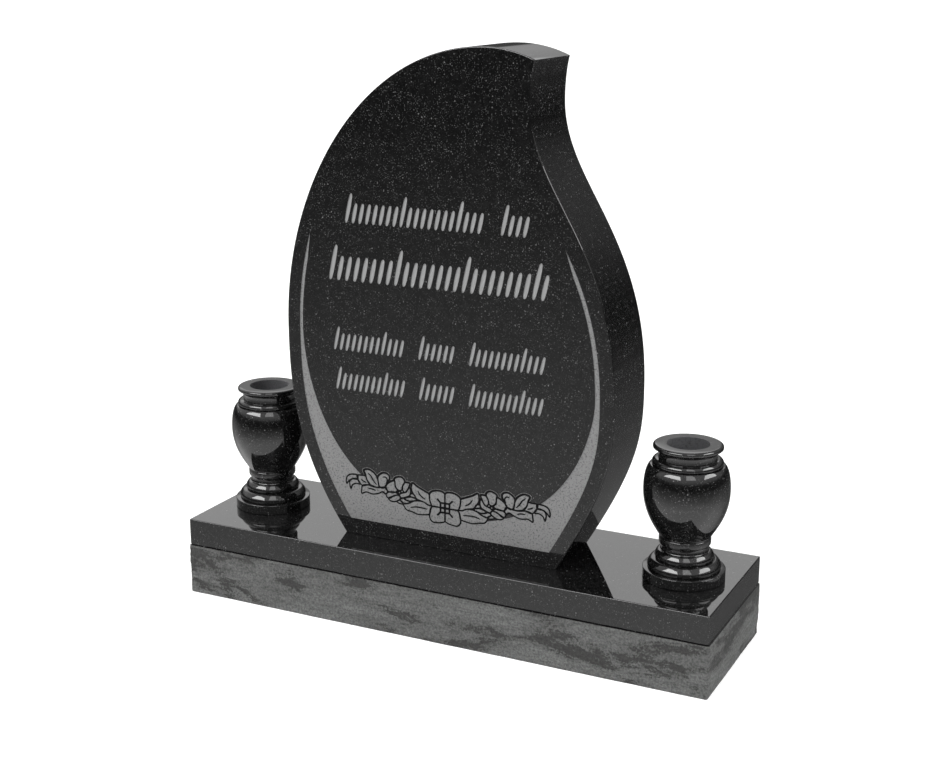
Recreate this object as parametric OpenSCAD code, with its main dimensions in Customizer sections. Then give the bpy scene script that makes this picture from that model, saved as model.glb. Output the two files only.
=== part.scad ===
// Upright granite memorial: a leaf-shaped tablet and two turned flower vases on one base.
// Millimetres. The origin is the middle of the base's underside, the front faces -Y, and +Z is up.

/* [Tablet] */
// Thickness of the tablet from front to back
tablet_t = 152.4; // [100:0.1:220]
// Height of the crown above the base
tablet_h = 923; // [780:1:1120]
// Half the width of the foot that stands on the base
tablet_foot_half = 219; // [150:1:270]
// Slope of the left side where it leaves the foot, in degrees
left_foot_slope = 54.5; // [45:0.5:75]
// Slope of the right side where it leaves the foot, in degrees
right_foot_slope = 59; // [45:0.5:75]
// Reach of the left belly from the centre line
left_belly_reach = 337; // [280:1:420]
// Height of the left belly
left_belly_z = 396; // [300:1:480]
// Reach of the right belly from the centre line
right_belly_reach = 325; // [260:1:400]
// Height of the right belly
right_belly_z = 320; // [240:1:400]
// Distance of the crown to the right of the centre line
crown_x = 73; // [40:1:110]
// Run of the tip to the right of the crown
tip_run = 96; // [70:1:120]
// Drop of the tip below the crown
tip_drop = 20; // [10:1:40]
// Set-back of the neck under the tip
neck_back = 8; // [4:1:20]
// Drop of the neck below the tip
neck_drop = 74; // [50:1:110]

/* [Frosted panel] */
// Depth that the panel is cut into the front
panel_depth = 1; // [0.5:0.5:4]
// Polished border between the outline and the panel
panel_border = 27; // [15:0.5:40]
// Polished strip between the foot and the panel
panel_foot_strip = 31; // [15:1:60]
// Height of the left tip of the panel
panel_left_tip_z = 580; // [500:1:640]
// Height of the right tip of the panel
panel_right_tip_z = 587; // [500:1:640]
// Extra border at the right tip, which leans in from the outline
panel_right_lean = 2.5; // [0:0.5:12]
// Width of the arm that runs up on the left of the text
panel_left_arm = 6.5; // [4:0.5:20]
// Width of the arm that runs up on the right of the text
panel_right_arm = 9; // [4:0.5:20]
// Height over which each arm tapers to its tip
panel_taper_h = 47; // [20:1:80]
// Height of the lowest point of the panel's inner edge
panel_bowl_z = 62; // [50:1:120]

/* [Base] */
// Height of the base
base_h = 152.4; // [100:0.1:250]
// Height of the polished margin that runs round the top of the base
margin_h = 52; // [20:1:75]
// How far the rock face stands out from the polished margin
rock_out = 3; // [1:0.5:8]
// Ledge in front of the tablet, and behind it
ledge = 76.2; // [40:0.1:120]
// Gap between the tablet's widest belly and each vase
vase_gap = 22; // [10:1:60]
// Distance from each vase's foot to the end of the base
end_margin = 23.6; // [15:0.1:80]
// Bevel on the polished top edges of the base
base_arris = 1.5; // [0.5:0.5:4]

/* [Vases] */
// Radius of the round foot
vase_foot_r = 74; // [60:1:90]
// Height of the straight band of the foot
vase_foot_h = 19; // [10:1:30]
// Radius of the widest part of the bowl
vase_belly_r = 76.8; // [66:0.1:100]
// Radius of the waist between foot and bowl
vase_waist_r = 42; // [34:1:50]
// Height of the bowl from the waist ring to its widest part
vase_bowl_h = 88; // [66:1:124]
// Height of the shoulder above the widest part
vase_shoulder_h = 46; // [35:1:60]
// Diameter of the flower insert that drops into the vase
insert_d = 74; // [50:1:88]
// Clearance round the flower insert
insert_gap = 1; // [0.5:0.5:4]
// Thickness of the stone round the mouth
collar_wall = 14; // [8:1:20]
// Solid stone left between the bore and the waist ring
stone_under_bore = 24; // [12:1:50]

/* [Hidden] */

$fn = 96;
SLACK = 1; // how far a cutter runs past the face it cuts

POLISHED = "#2b2b2d";
ROCK = "#6b6b66";

// Curve pulls: how far a Bezier handle reaches along the tangent at its end.
foot_pull = 203;
belly_low_pull = [98, 85];
left_belly_high_pull = 273;
crown_pull = [234, 40];
tip_top_pull = 25;
tip_top_slope = 24;
tip_side_pull = 22;
tip_side_lean = 16;
neck_pull = [20, 152];
right_belly_high_pull = 279;
bowl_turn_pull = [87, 28];
bowl_bottom_pull = [256, 260];

// Steps along a long, a middling and a short stretch of curve
LONG = 22;
MIDDLE = 12;
SHORT = 6;

// The vases stand clear of the widest belly, and the base reaches past their feet.
vase_reach = max(vase_foot_r, vase_belly_r);
vase_x = max(left_belly_reach, right_belly_reach) + vase_gap + vase_reach;
base_half_l = vase_x + vase_foot_r + end_margin;
base_half_w = max(tablet_t / 2 + ledge, vase_reach + end_margin);

// Heights in the vase, from its foot upwards
foot_ledge_h = 1;
cushion_h = 17;
step_h = 1;
torus_h = 15;
scotia_h = 12;
waist_ring_h = 13;
bowl_toe_h = 3;
neck_ring_h = 11;
neck_groove_h = 4;
collar_h = 14;
lip_h = 8;

// How far each turned member stands in or out from its neighbour
cushion_in = 10;
cushion_out = 2;
cushion_top_in = 19;
torus_in = 21;
member_rise = 0.65; // share of a rounded member that lies over its widest point
quirk = 2; // the small step that separates two members
waist_ring_out = 4.5;
neck_ring_out = 13;
lip_out = 10;
lip_round = 6;

// Curve pulls of the bowl, as [outwards, upwards]
bowl_start_pull = [16.5, 25];
bowl_belly_pull = [0, 36];
shoulder_belly_pull = [0, 24];
shoulder_end_pull = [7, -4];

// Places in the vase that follow from its sizes
bore_r = insert_d / 2 + insert_gap;
collar_r = bore_r + collar_wall;
cushion_foot_z = vase_foot_h + foot_ledge_h;
cushion_z = cushion_foot_z + cushion_h;
torus_z = cushion_z + step_h;
scotia_z = torus_z + torus_h;
waist_z = scotia_z + scotia_h;
bowl_z = waist_z + waist_ring_h;
belly_z = bowl_z + vase_bowl_h;
shoulder_z = belly_z + vase_shoulder_h;
neck_z = shoulder_z + neck_ring_h;
collar_z = neck_z + neck_groove_h;
lip_z = collar_z + collar_h;
vase_h = lip_z + lip_h;
bore_depth = vase_h - bowl_z - stone_under_bore;

// One cubic curve from a to d in n steps, without its last point, so that curves join end to end.
function curve(a, b, c, d, n) = [
    for (i = [0:n - 1])
        let (t = i / n, s = 1 - t)
            s * s * s * a + 3 * s * s * t * b + 3 * s * t * t * c + t * t * t * d
];

// A step of length r in the direction of angle a, counted from +X towards +Y.
function polar(r, a) = r * [cos(a), sin(a)];

// The named points of the tablet's outline, with Z as the second coordinate.
foot_l = [-tablet_foot_half, 0];
foot_r = [tablet_foot_half, 0];
belly_l = [-left_belly_reach, left_belly_z];
belly_r = [right_belly_reach, right_belly_z];
crown = [crown_x, tablet_h];
tip = crown + [tip_run, -tip_drop];
neck = tip - [neck_back, neck_drop];

function left_side() = concat(
    curve(foot_l, foot_l + polar(foot_pull, 180 - left_foot_slope),
        belly_l - [0, belly_low_pull[0]], belly_l, MIDDLE),
    curve(belly_l, belly_l + [0, left_belly_high_pull],
        crown - [crown_pull[0], 0], crown, LONG)
);

function top() = concat(
    curve(crown, crown + [crown_pull[1], 0],
        tip + polar(tip_top_pull, 180 - tip_top_slope), tip, SHORT),
    curve(tip, tip + polar(tip_side_pull, -90 - tip_side_lean),
        neck + [0, neck_pull[0]], neck, SHORT)
);

function right_side() = concat(
    curve(neck, neck - [0, neck_pull[1]],
        belly_r + [0, right_belly_high_pull], belly_r, LONG),
    curve(belly_r, belly_r - [0, belly_low_pull[1]],
        foot_r + polar(foot_pull, right_foot_slope), foot_r, MIDDLE),
    [foot_r]
);

// A run of points moved sideways by d, to the right of the way it runs.
function moved_in(run, d) = [
    for (i = [0:len(run) - 1])
        let (
            ahead = run[min(i + 1, len(run) - 1)] - run[max(i - 1, 0)],
            way = ahead / norm(ahead)
        )
            run[i] + d * [way[1], -way[0]]
];

// The outer edges of the frosted panel. The right one leans in as it nears its tip.
function panel_left() = moved_in(left_side(), panel_border);
function panel_right() = [
    for (p = moved_in(right_side(), panel_border))
        let (rise = (p[1] - right_belly_z) / (panel_right_tip_z - right_belly_z))
            p - [panel_right_lean * max(rise, 0), 0]
];

// Where a run of points crosses the height z.
function at_height(run, z) = [
    for (i = [0:len(run) - 2])
        if ((run[i][1] - z) * (run[i + 1][1] - z) <= 0 && run[i][1] != run[i + 1][1])
            let (t = (z - run[i][1]) / (run[i + 1][1] - run[i][1]))
                run[i] + t * (run[i + 1] - run[i])
][0];

// The points of a run between two heights, in the run's own order.
function between(run, low, high) = [for (p = run) if (p[1] > low && p[1] < high) p];

function backwards(run) = [for (i = [len(run) - 1:-1:0]) run[i]];

// The inner edge of the frosted panel: down the left arm, round the bowl and up the right arm.
function bowl_edge() =
    let (
        left = moved_in(left_side(), panel_border + panel_left_arm),
        right = moved_in(right_side(), panel_border + panel_right_arm),
        turn_l = at_height(left, left_belly_z),
        turn_r = at_height(right, right_belly_z),
        low = [0, panel_bowl_z]
    )
        concat(
            [at_height(panel_left(), panel_left_tip_z)],
            backwards(between(left, left_belly_z, panel_left_tip_z - panel_taper_h)),
            curve(turn_l, turn_l - [0, bowl_turn_pull[0]],
                low - [bowl_bottom_pull[0], 0], low, LONG),
            curve(low, low + [bowl_bottom_pull[1], 0],
                turn_r - [0, bowl_turn_pull[1]], turn_r, LONG),
            [turn_r],
            backwards(between(right, right_belly_z, panel_right_tip_z - panel_taper_h)),
            [at_height(panel_right(), panel_right_tip_z)]
        );

module tablet_outline() {
    polygon(concat(left_side(), top(), right_side()));
}

module panel_outline() {
    difference() {
        intersection() {
            polygon(concat(panel_left(), panel_right()));
            translate([-left_belly_reach, panel_foot_strip])
                square([left_belly_reach + right_belly_reach, tablet_h]);
        }
        polygon(concat(
            bowl_edge(),
            [[right_belly_reach, tablet_h], [-left_belly_reach, tablet_h]],
            [[-left_belly_reach, panel_left_tip_z]]
        ));
    }
}

// Stands a flat outline up, so that it is t thick and centred on the middle plane.
module upright(t) {
    rotate([90, 0, 0])
        linear_extrude(t, center = true)
            children();
}

module tablet() {
    color(POLISHED)
        translate([0, 0, base_h])
            difference() {
                upright(tablet_t) tablet_outline();
                translate([0, -(tablet_t / 2 - panel_depth / 2 + SLACK / 2), 0])
                    upright(panel_depth + SLACK) panel_outline();
            }
}

// The base seen along one side, half its width each way: bevel, margin, rock face and tucked-in foot.
function base_profile(half) =
    let (
        rock_top = base_h - margin_h,
        side = [
            [half - base_arris, base_h],
            [half, base_h - base_arris],
            [half, rock_top],
            [half + rock_out, rock_top - rock_out],
            [half + rock_out, rock_out],
            [half, 0]
        ]
    )
        concat(side, [for (p = backwards(side)) [-p[0], p[1]]]);

module base() {
    color(ROCK)
        intersection() {
            upright(2 * (base_half_w + rock_out)) polygon(base_profile(base_half_l));
            rotate([0, 0, 90])
                upright(2 * (base_half_l + rock_out)) polygon(base_profile(base_half_w));
        }
}

// A quarter of an ellipse from the point a to the point b. It leaves a upwards, or sideways if flat.
function quarter(a, b, flat = false, n = SHORT) = [
    for (i = [0:n - 1])
        let (t = 90 * i / n, w = b - a)
            flat ? a + [w[0] * sin(t), w[1] * (1 - cos(t))]
                : a + [w[0] * (1 - cos(t)), w[1] * sin(t)]
];

// Foot, cushion, torus and scotia, as [radius, height] up to the waist.
function foot_profile() =
    let (
        cushion_r = vase_foot_r - cushion_in,
        cushion_side = [cushion_r + cushion_out, cushion_z - member_rise * cushion_h],
        cushion_top = [vase_foot_r - cushion_top_in, cushion_z],
        torus_r = vase_foot_r - torus_in,
        torus_side = [torus_r, scotia_z - member_rise * torus_h],
        torus_top = [vase_waist_r + quirk, scotia_z],
        waist = [vase_waist_r, scotia_z + scotia_h / 2]
    )
        concat(
            [[0, 0], [vase_foot_r, 0], [vase_foot_r, vase_foot_h]],
            quarter([cushion_r, cushion_foot_z], cushion_side, true, SHORT / 2),
            quarter(cushion_side, cushion_top),
            [cushion_top],
            quarter([torus_r - quirk, torus_z], torus_side, true, SHORT / 2),
            quarter(torus_side, torus_top),
            quarter(torus_top, waist, true, SHORT / 2),
            quarter(waist, [vase_waist_r + quirk, waist_z], false, SHORT / 2),
            [[vase_waist_r + quirk, waist_z]]
        );

// The ring over the waist, the bowl and its shoulder.
function bowl_profile() =
    let (
        ring_r = vase_waist_r + waist_ring_out,
        ring_mid = waist_z + waist_ring_h / 2,
        toe = [ring_r, bowl_z + bowl_toe_h],
        belly = [vase_belly_r, belly_z],
        shoulder = [collar_r + neck_ring_out, shoulder_z]
    )
        concat(
            quarter([ring_r - quirk, waist_z], [ring_r, ring_mid], true, SHORT / 2),
            quarter([ring_r, ring_mid], [ring_r - quirk, bowl_z], false, SHORT / 2),
            quarter([ring_r - quirk, bowl_z], toe, true, SHORT / 2),
            curve(toe, toe + bowl_start_pull, belly - bowl_belly_pull, belly, MIDDLE),
            curve(belly, belly + shoulder_belly_pull,
                shoulder + shoulder_end_pull, shoulder, MIDDLE)
        );

// The neck ring, the collar that flares round the mouth, and the lip.
function mouth_profile() =
    let (
        ring_r = collar_r + neck_ring_out - quirk,
        ring_mid = shoulder_z + neck_ring_h / 3,
        lip_r = collar_r + lip_out
    )
        concat(
            quarter([ring_r - quirk, shoulder_z], [ring_r, ring_mid], true, SHORT / 2),
            quarter([ring_r, ring_mid], [collar_r + quirk, neck_z]),
            [[collar_r, neck_z]],
            curve([collar_r, collar_z], [collar_r, collar_z + collar_h / 2],
                [collar_r + quirk, lip_z - quirk], [lip_r - quirk, lip_z], SHORT),
            quarter([lip_r - quirk, lip_z], [lip_r, lip_z + quirk], true, SHORT / 2),
            quarter([lip_r, lip_z + lip_h / 2], [lip_r - lip_round, vase_h]),
            [[lip_r - lip_round, vase_h], [0, vase_h]]
        );

module vase(x) {
    color(POLISHED)
        translate([x, 0, base_h])
            difference() {
                rotate_extrude() polygon(concat(foot_profile(), bowl_profile(), mouth_profile()));
                translate([0, 0, vase_h - bore_depth])
                    cylinder(r = bore_r, h = bore_depth + SLACK);
            }
}

module vase_left() {
    vase(-vase_x);
}

module vase_right() {
    vase(vase_x);
}

base();
tablet();
vase_left();
vase_right();
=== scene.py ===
"""Upright granite memorial: the stones' shapes, finishes and carving, built around the CAD frame.

Lengths in the classes are in millimetres, as on a mason's drawing. Meshes are made in metres.
"""

import logging
import math
from collections.abc import Iterable, Sequence
from dataclasses import dataclass, field
from enum import Enum

import bmesh
import bpy
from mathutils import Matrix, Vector, noise
from mathutils.geometry import delaunay_2d_cdt


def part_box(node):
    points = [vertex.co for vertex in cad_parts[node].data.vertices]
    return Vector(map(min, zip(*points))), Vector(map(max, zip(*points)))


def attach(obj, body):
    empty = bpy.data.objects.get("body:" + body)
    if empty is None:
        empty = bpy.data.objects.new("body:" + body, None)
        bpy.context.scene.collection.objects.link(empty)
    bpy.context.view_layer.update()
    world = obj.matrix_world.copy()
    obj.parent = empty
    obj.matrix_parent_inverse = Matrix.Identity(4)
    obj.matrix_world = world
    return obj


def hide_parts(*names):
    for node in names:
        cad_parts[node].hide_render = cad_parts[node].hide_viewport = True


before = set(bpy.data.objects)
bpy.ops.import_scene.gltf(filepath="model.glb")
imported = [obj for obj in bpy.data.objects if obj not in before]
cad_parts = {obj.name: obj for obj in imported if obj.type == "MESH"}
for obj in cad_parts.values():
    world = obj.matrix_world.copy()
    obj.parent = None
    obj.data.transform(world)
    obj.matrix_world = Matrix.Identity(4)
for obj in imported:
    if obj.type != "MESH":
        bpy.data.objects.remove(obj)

LOG = logging.getLogger("memorial")
MM = 0.001
# Corners closer than this, in metres, become one, and edges shorter than this go.
MERGE_WITHIN = 0.00001
NO_LENGTH = 0.000001
# The cosine of half the sharpest turn whose mitre is kept whole.
SHARPEST_MITRE = 0.6
# The half width at the very end of a pointed band, as a share of its width, and how quickly the
# band fills out from there: 0 is at once.
POINT_SHARE = 0.12
POINT_FULLNESS = 0.3

Point = tuple[float, float]
Place = tuple[float, float, float]
Loop = list[Point]
Face = tuple[int, ...]
Colour = tuple[float, float, float, float]


# ---------------------------------------------------------------- small geometry tools


def cubic(a: Point, b: Point, c: Point, d: Point, steps: int) -> Loop:
    """Sample a cubic Bezier curve, without its last point, so that curves join end to end.

    Args:
        a, b, c, d: The curve's four control points.
        steps: How many points to give.

    Returns:
        The points from a up to, and not including, d.
    """
    run = []
    for i in range(steps):
        t = i / steps
        s = 1.0 - t
        w = (s * s * s, 3 * s * s * t, 3 * s * t * t, t * t * t)
        run.append(tuple(w[0] * a[k] + w[1] * b[k] + w[2] * c[k] + w[3] * d[k] for k in (0, 1)))
    return run


def polar(start: Point, length: float, degrees: float) -> Point:
    """Give the point that lies a length away from start, in a direction counted from +X."""
    turn = math.radians(degrees)
    return (start[0] + length * math.cos(turn), start[1] + length * math.sin(turn))


def smooth_run(points: Sequence[Point], steps: int, closed: bool) -> Loop:
    """Draw a Catmull-Rom curve through points.

    Args:
        points: The points that the curve passes through.
        steps: How many samples each stretch between two points gets.
        closed: Whether the last point joins the first.

    Returns:
        The sampled curve. An open curve keeps its last point.
    """
    count = len(points)
    stretches = count if closed else count - 1
    run = []
    for i in range(stretches):
        if closed:
            p0, p1, p2, p3 = (points[(i + k) % count] for k in (-1, 0, 1, 2))
        else:
            p0, p1, p2, p3 = (points[min(max(i + k, 0), count - 1)] for k in (-1, 0, 1, 2))
        b = tuple(p1[k] + (p2[k] - p0[k]) / 6 for k in (0, 1))
        c = tuple(p2[k] - (p3[k] - p1[k]) / 6 for k in (0, 1))
        run += cubic(p1, b, c, p2, steps)
    if not closed:
        run.append(tuple(points[-1]))
    return run


def signed_area(loop: Loop) -> float:
    """Give a loop's area, which is above zero where the loop runs anticlockwise.

    Args:
        loop: The closed loop.

    Returns:
        The area, in the square of the loop's own unit.
    """
    total = 0.0
    for (x0, y0), (x1, y1) in zip(loop, loop[1:] + loop[:1]):
        total += x0 * y1 - x1 * y0
    return total / 2


def turns_round(loop: Loop, x: float, y: float) -> int:
    """Count how often an anticlockwise loop winds round a place. Folded-over parts count below zero.

    Args:
        loop: The closed loop.
        x, y: The place.

    Returns:
        How often the loop winds round the place.
    """
    turns = 0
    for (x0, y0), (x1, y1) in zip(loop, loop[1:] + loop[:1]):
        if (y0 <= y) != (y1 <= y):
            side = (x1 - x0) * (y - y0) - (x - x0) * (y1 - y0)
            if y1 > y0 and side > 0:
                turns += 1
            elif y1 < y0 and side < 0:
                turns -= 1
    return turns


def anticlockwise(loop: Loop) -> Loop:
    """Give the loop in anticlockwise order."""
    return loop if signed_area(loop) > 0 else loop[::-1]


def grown(loop: Loop, by: float) -> Loop:
    """Move every side of an anticlockwise loop outwards, with mitred corners.

    Args:
        loop: The closed loop.
        by: How far the sides move out. Below zero they move in.

    Returns:
        The moved loop, point for point.
    """
    count = len(loop)
    moved = []
    for i in range(count):
        before = Vector(loop[i]) - Vector(loop[i - 1])
        after = Vector(loop[(i + 1) % count]) - Vector(loop[i])
        n0 = Vector((before.y, -before.x)).normalized()
        n1 = Vector((after.y, -after.x)).normalized()
        mid = (n0 + n1).normalized()
        reach = by / max(mid.dot(n1), SHARPEST_MITRE)
        moved.append((loop[i][0] + mid.x * reach, loop[i][1] + mid.y * reach))
    return moved


def moved_in(run: Loop, by: float) -> Loop:
    """Move an open run of points sideways, to the right of the way it goes.

    Args:
        run: The open run.
        by: How far the points move.

    Returns:
        The moved run, point for point.
    """
    moved = []
    for i, p in enumerate(run):
        ahead = Vector(run[min(i + 1, len(run) - 1)]) - Vector(run[max(i - 1, 0)])
        ahead.normalize()
        moved.append((p[0] + by * ahead.y, p[1] - by * ahead.x))
    return moved


def at_height(run: Loop, z: float) -> Point:
    """Give the place where a run of points first crosses a height.

    Args:
        run: The open run.
        z: The height.

    Returns:
        The place, at exactly that height.
    """
    for a, b in zip(run, run[1:]):
        if (a[1] - z) * (b[1] - z) <= 0 and a[1] != b[1]:
            t = (z - a[1]) / (b[1] - a[1])
            return (a[0] + t * (b[0] - a[0]), z)
    raise ValueError(f"the run never reaches height {z}")


def between(run: Loop, low: float, high: float) -> Loop:
    """Give the points of a run between two heights, in the run's own order."""
    return [p for p in run if low < p[1] < high]


def ribbon(run: Loop, width: float, taper: bool) -> Loop:
    """Give a band along an open run.

    Args:
        run: The middle line.
        width: The full width of the band.
        taper: Whether the band narrows to a point at both ends.

    Returns:
        The band's outline as an anticlockwise loop.
    """
    last = len(run) - 1
    left, right = [], []
    for i, p in enumerate(run):
        ahead = Vector(run[min(i + 1, last)]) - Vector(run[max(i - 1, 0)])
        ahead.normalize()
        share = math.sin(math.pi * i / last) ** POINT_FULLNESS if taper else 1.0
        half = max(width * share / 2, width * POINT_SHARE)
        left.append((p[0] - half * ahead.y, p[1] + half * ahead.x))
        right.append((p[0] + half * ahead.y, p[1] - half * ahead.x))
    return anticlockwise(left + right[::-1])


def filled(loops: Sequence[Loop]) -> tuple[list[Vector], list[Face]]:
    """Fill closed loops with triangles that keep every side of every loop.

    Args:
        loops: The loops. The outermost one bounds the sheet.

    Returns:
        The places of the corners, and the corners of each triangle.
    """
    corners = [Vector(p) for loop in loops for p in loop]
    numbers = iter(range(len(corners)))
    rings = [[next(numbers) for _ in loop] for loop in loops]
    inside_only, near = 1, 0.001
    flat, _, triangles, *_ = delaunay_2d_cdt(corners, [], rings, inside_only, near)
    return flat, triangles


def arris_turn(radius: float, steps: int) -> list[Point]:
    """Give the turn of a rounded edge, as (how far in, how far down) from the sharp corner."""
    turns = [math.radians(90 * k / steps) for k in range(steps + 1)]
    return [(radius * (1 - math.sin(turn)), radius * (1 - math.cos(turn))) for turn in turns]


def ring_walls(start: int, rings: int, count: int) -> list[Face]:
    """Join rings of points, one to the next, with four-sided faces.

    Args:
        start: The number of the first ring's first point.
        rings: How many rings follow one another.
        count: How many points each ring has.

    Returns:
        The faces, ring after ring.
    """
    faces = []
    for a in range(start, start + (rings - 1) * count, count):
        b = a + count
        for i in range(count):
            j = (i + 1) % count
            faces.append((a + i, b + i, b + j, a + j))
    return faces


def mesh_piece(
    name: str,
    points: Iterable[Sequence[float]],
    faces: Iterable[Sequence[int]],
    finishes: Sequence[bpy.types.Material],
    finish_of: Sequence[int],
) -> bpy.types.Object:
    """Make one mesh object from points in metres, and link it to the scene.

    Args:
        name: The piece's name.
        points: The places of its vertices.
        faces: The vertices of each face.
        finishes: The materials in its slots.
        finish_of: Which of them each face has.

    Returns:
        The new object, with doubled vertices merged.
    """
    mesh = bpy.data.meshes.new(name)
    mesh.from_pydata([tuple(p) for p in points], [], [tuple(f) for f in faces])
    for material in finishes:
        mesh.materials.append(material)
    mesh.polygons.foreach_set("material_index", list(finish_of))
    work = bmesh.new()
    work.from_mesh(mesh)
    bmesh.ops.remove_doubles(work, verts=work.verts, dist=MERGE_WITHIN)
    bmesh.ops.dissolve_degenerate(work, edges=work.edges, dist=NO_LENGTH)
    work.to_mesh(mesh)
    work.free()
    mesh.validate()
    piece = bpy.data.objects.new(name, mesh)
    bpy.context.scene.collection.objects.link(piece)
    return piece


def shade(piece: bpy.types.Object, crease_deg: float, weighted: bool) -> None:
    """Smooth a piece's shading, apart from its sharp edges.

    Args:
        piece: The mesh object.
        crease_deg: Edges that turn by more than this stay sharp.
        weighted: Whether large faces keep their own flat normals against narrow arrises.
    """
    mesh = piece.data
    mesh.polygons.foreach_set("use_smooth", [True] * len(mesh.polygons))
    work = bmesh.new()
    work.from_mesh(mesh)
    limit = math.radians(crease_deg)
    for edge in work.edges:
        edge.smooth = len(edge.link_faces) == 2 and edge.calc_face_angle(0.0) < limit
    work.to_mesh(mesh)
    work.free()
    if weighted:
        keep = piece.modifiers.new("flat_faces", "WEIGHTED_NORMAL")
        keep.keep_sharp = True
        keep.weight = 100


# ---------------------------------------------------------------- finishes


def linear(hex_colour: str) -> Colour:
    """Turn an sRGB hex colour into linear RGBA.

    Args:
        hex_colour: The colour, as # and six digits.

    Returns:
        The linear red, green, blue and a full alpha.
    """
    channels = [int(hex_colour[i:i + 2], 16) / 255 for i in (1, 3, 5)]
    turned = [c / 12.92 if c <= 0.04045 else ((c + 0.055) / 1.055) ** 2.4 for c in channels]
    return (turned[0], turned[1], turned[2], 1.0)


def add_node(tree: bpy.types.NodeTree, kind: str, inputs: dict | None = None, **settings) -> bpy.types.Node:
    """Add one node with its settings and its inputs.

    Args:
        tree: The node tree that it goes into.
        kind: The node's type name.
        inputs: For each input, by name or number, a value or another node's output.
        settings: The node's own properties.

    Returns:
        The new node.
    """
    node = tree.nodes.new(kind)
    for key, value in settings.items():
        setattr(node, key, value)
    for key, value in (inputs or {}).items():
        if isinstance(value, bpy.types.NodeSocket):
            tree.links.new(value, node.inputs[key])
        else:
            node.inputs[key].default_value = value
    return node


def new_material(name: str) -> tuple[bpy.types.Material, bpy.types.NodeTree]:
    """Make an empty node material.

    Args:
        name: The material's name.

    Returns:
        The material and its node tree.
    """
    material = bpy.data.materials.new(name)
    material.use_nodes = True
    material.node_tree.nodes.clear()
    return material, material.node_tree


def per_metre(size_mm: float) -> float:
    """Turn the size of one grain or patch into a pattern scale."""
    return 1.0 / (size_mm * MM)


@dataclass(frozen=True)
class GrainLayer:
    """One kind of crystal that shows in the stone.

    Attributes:
        size_mm: Spacing of the crystals.
        reach: Size of a crystal, as a share of the spacing.
        share: The share of crystals that show.
        strength: How far a crystal's colour replaces the ground.
    """

    size_mm: float
    reach: float
    share: float
    strength: float


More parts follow.
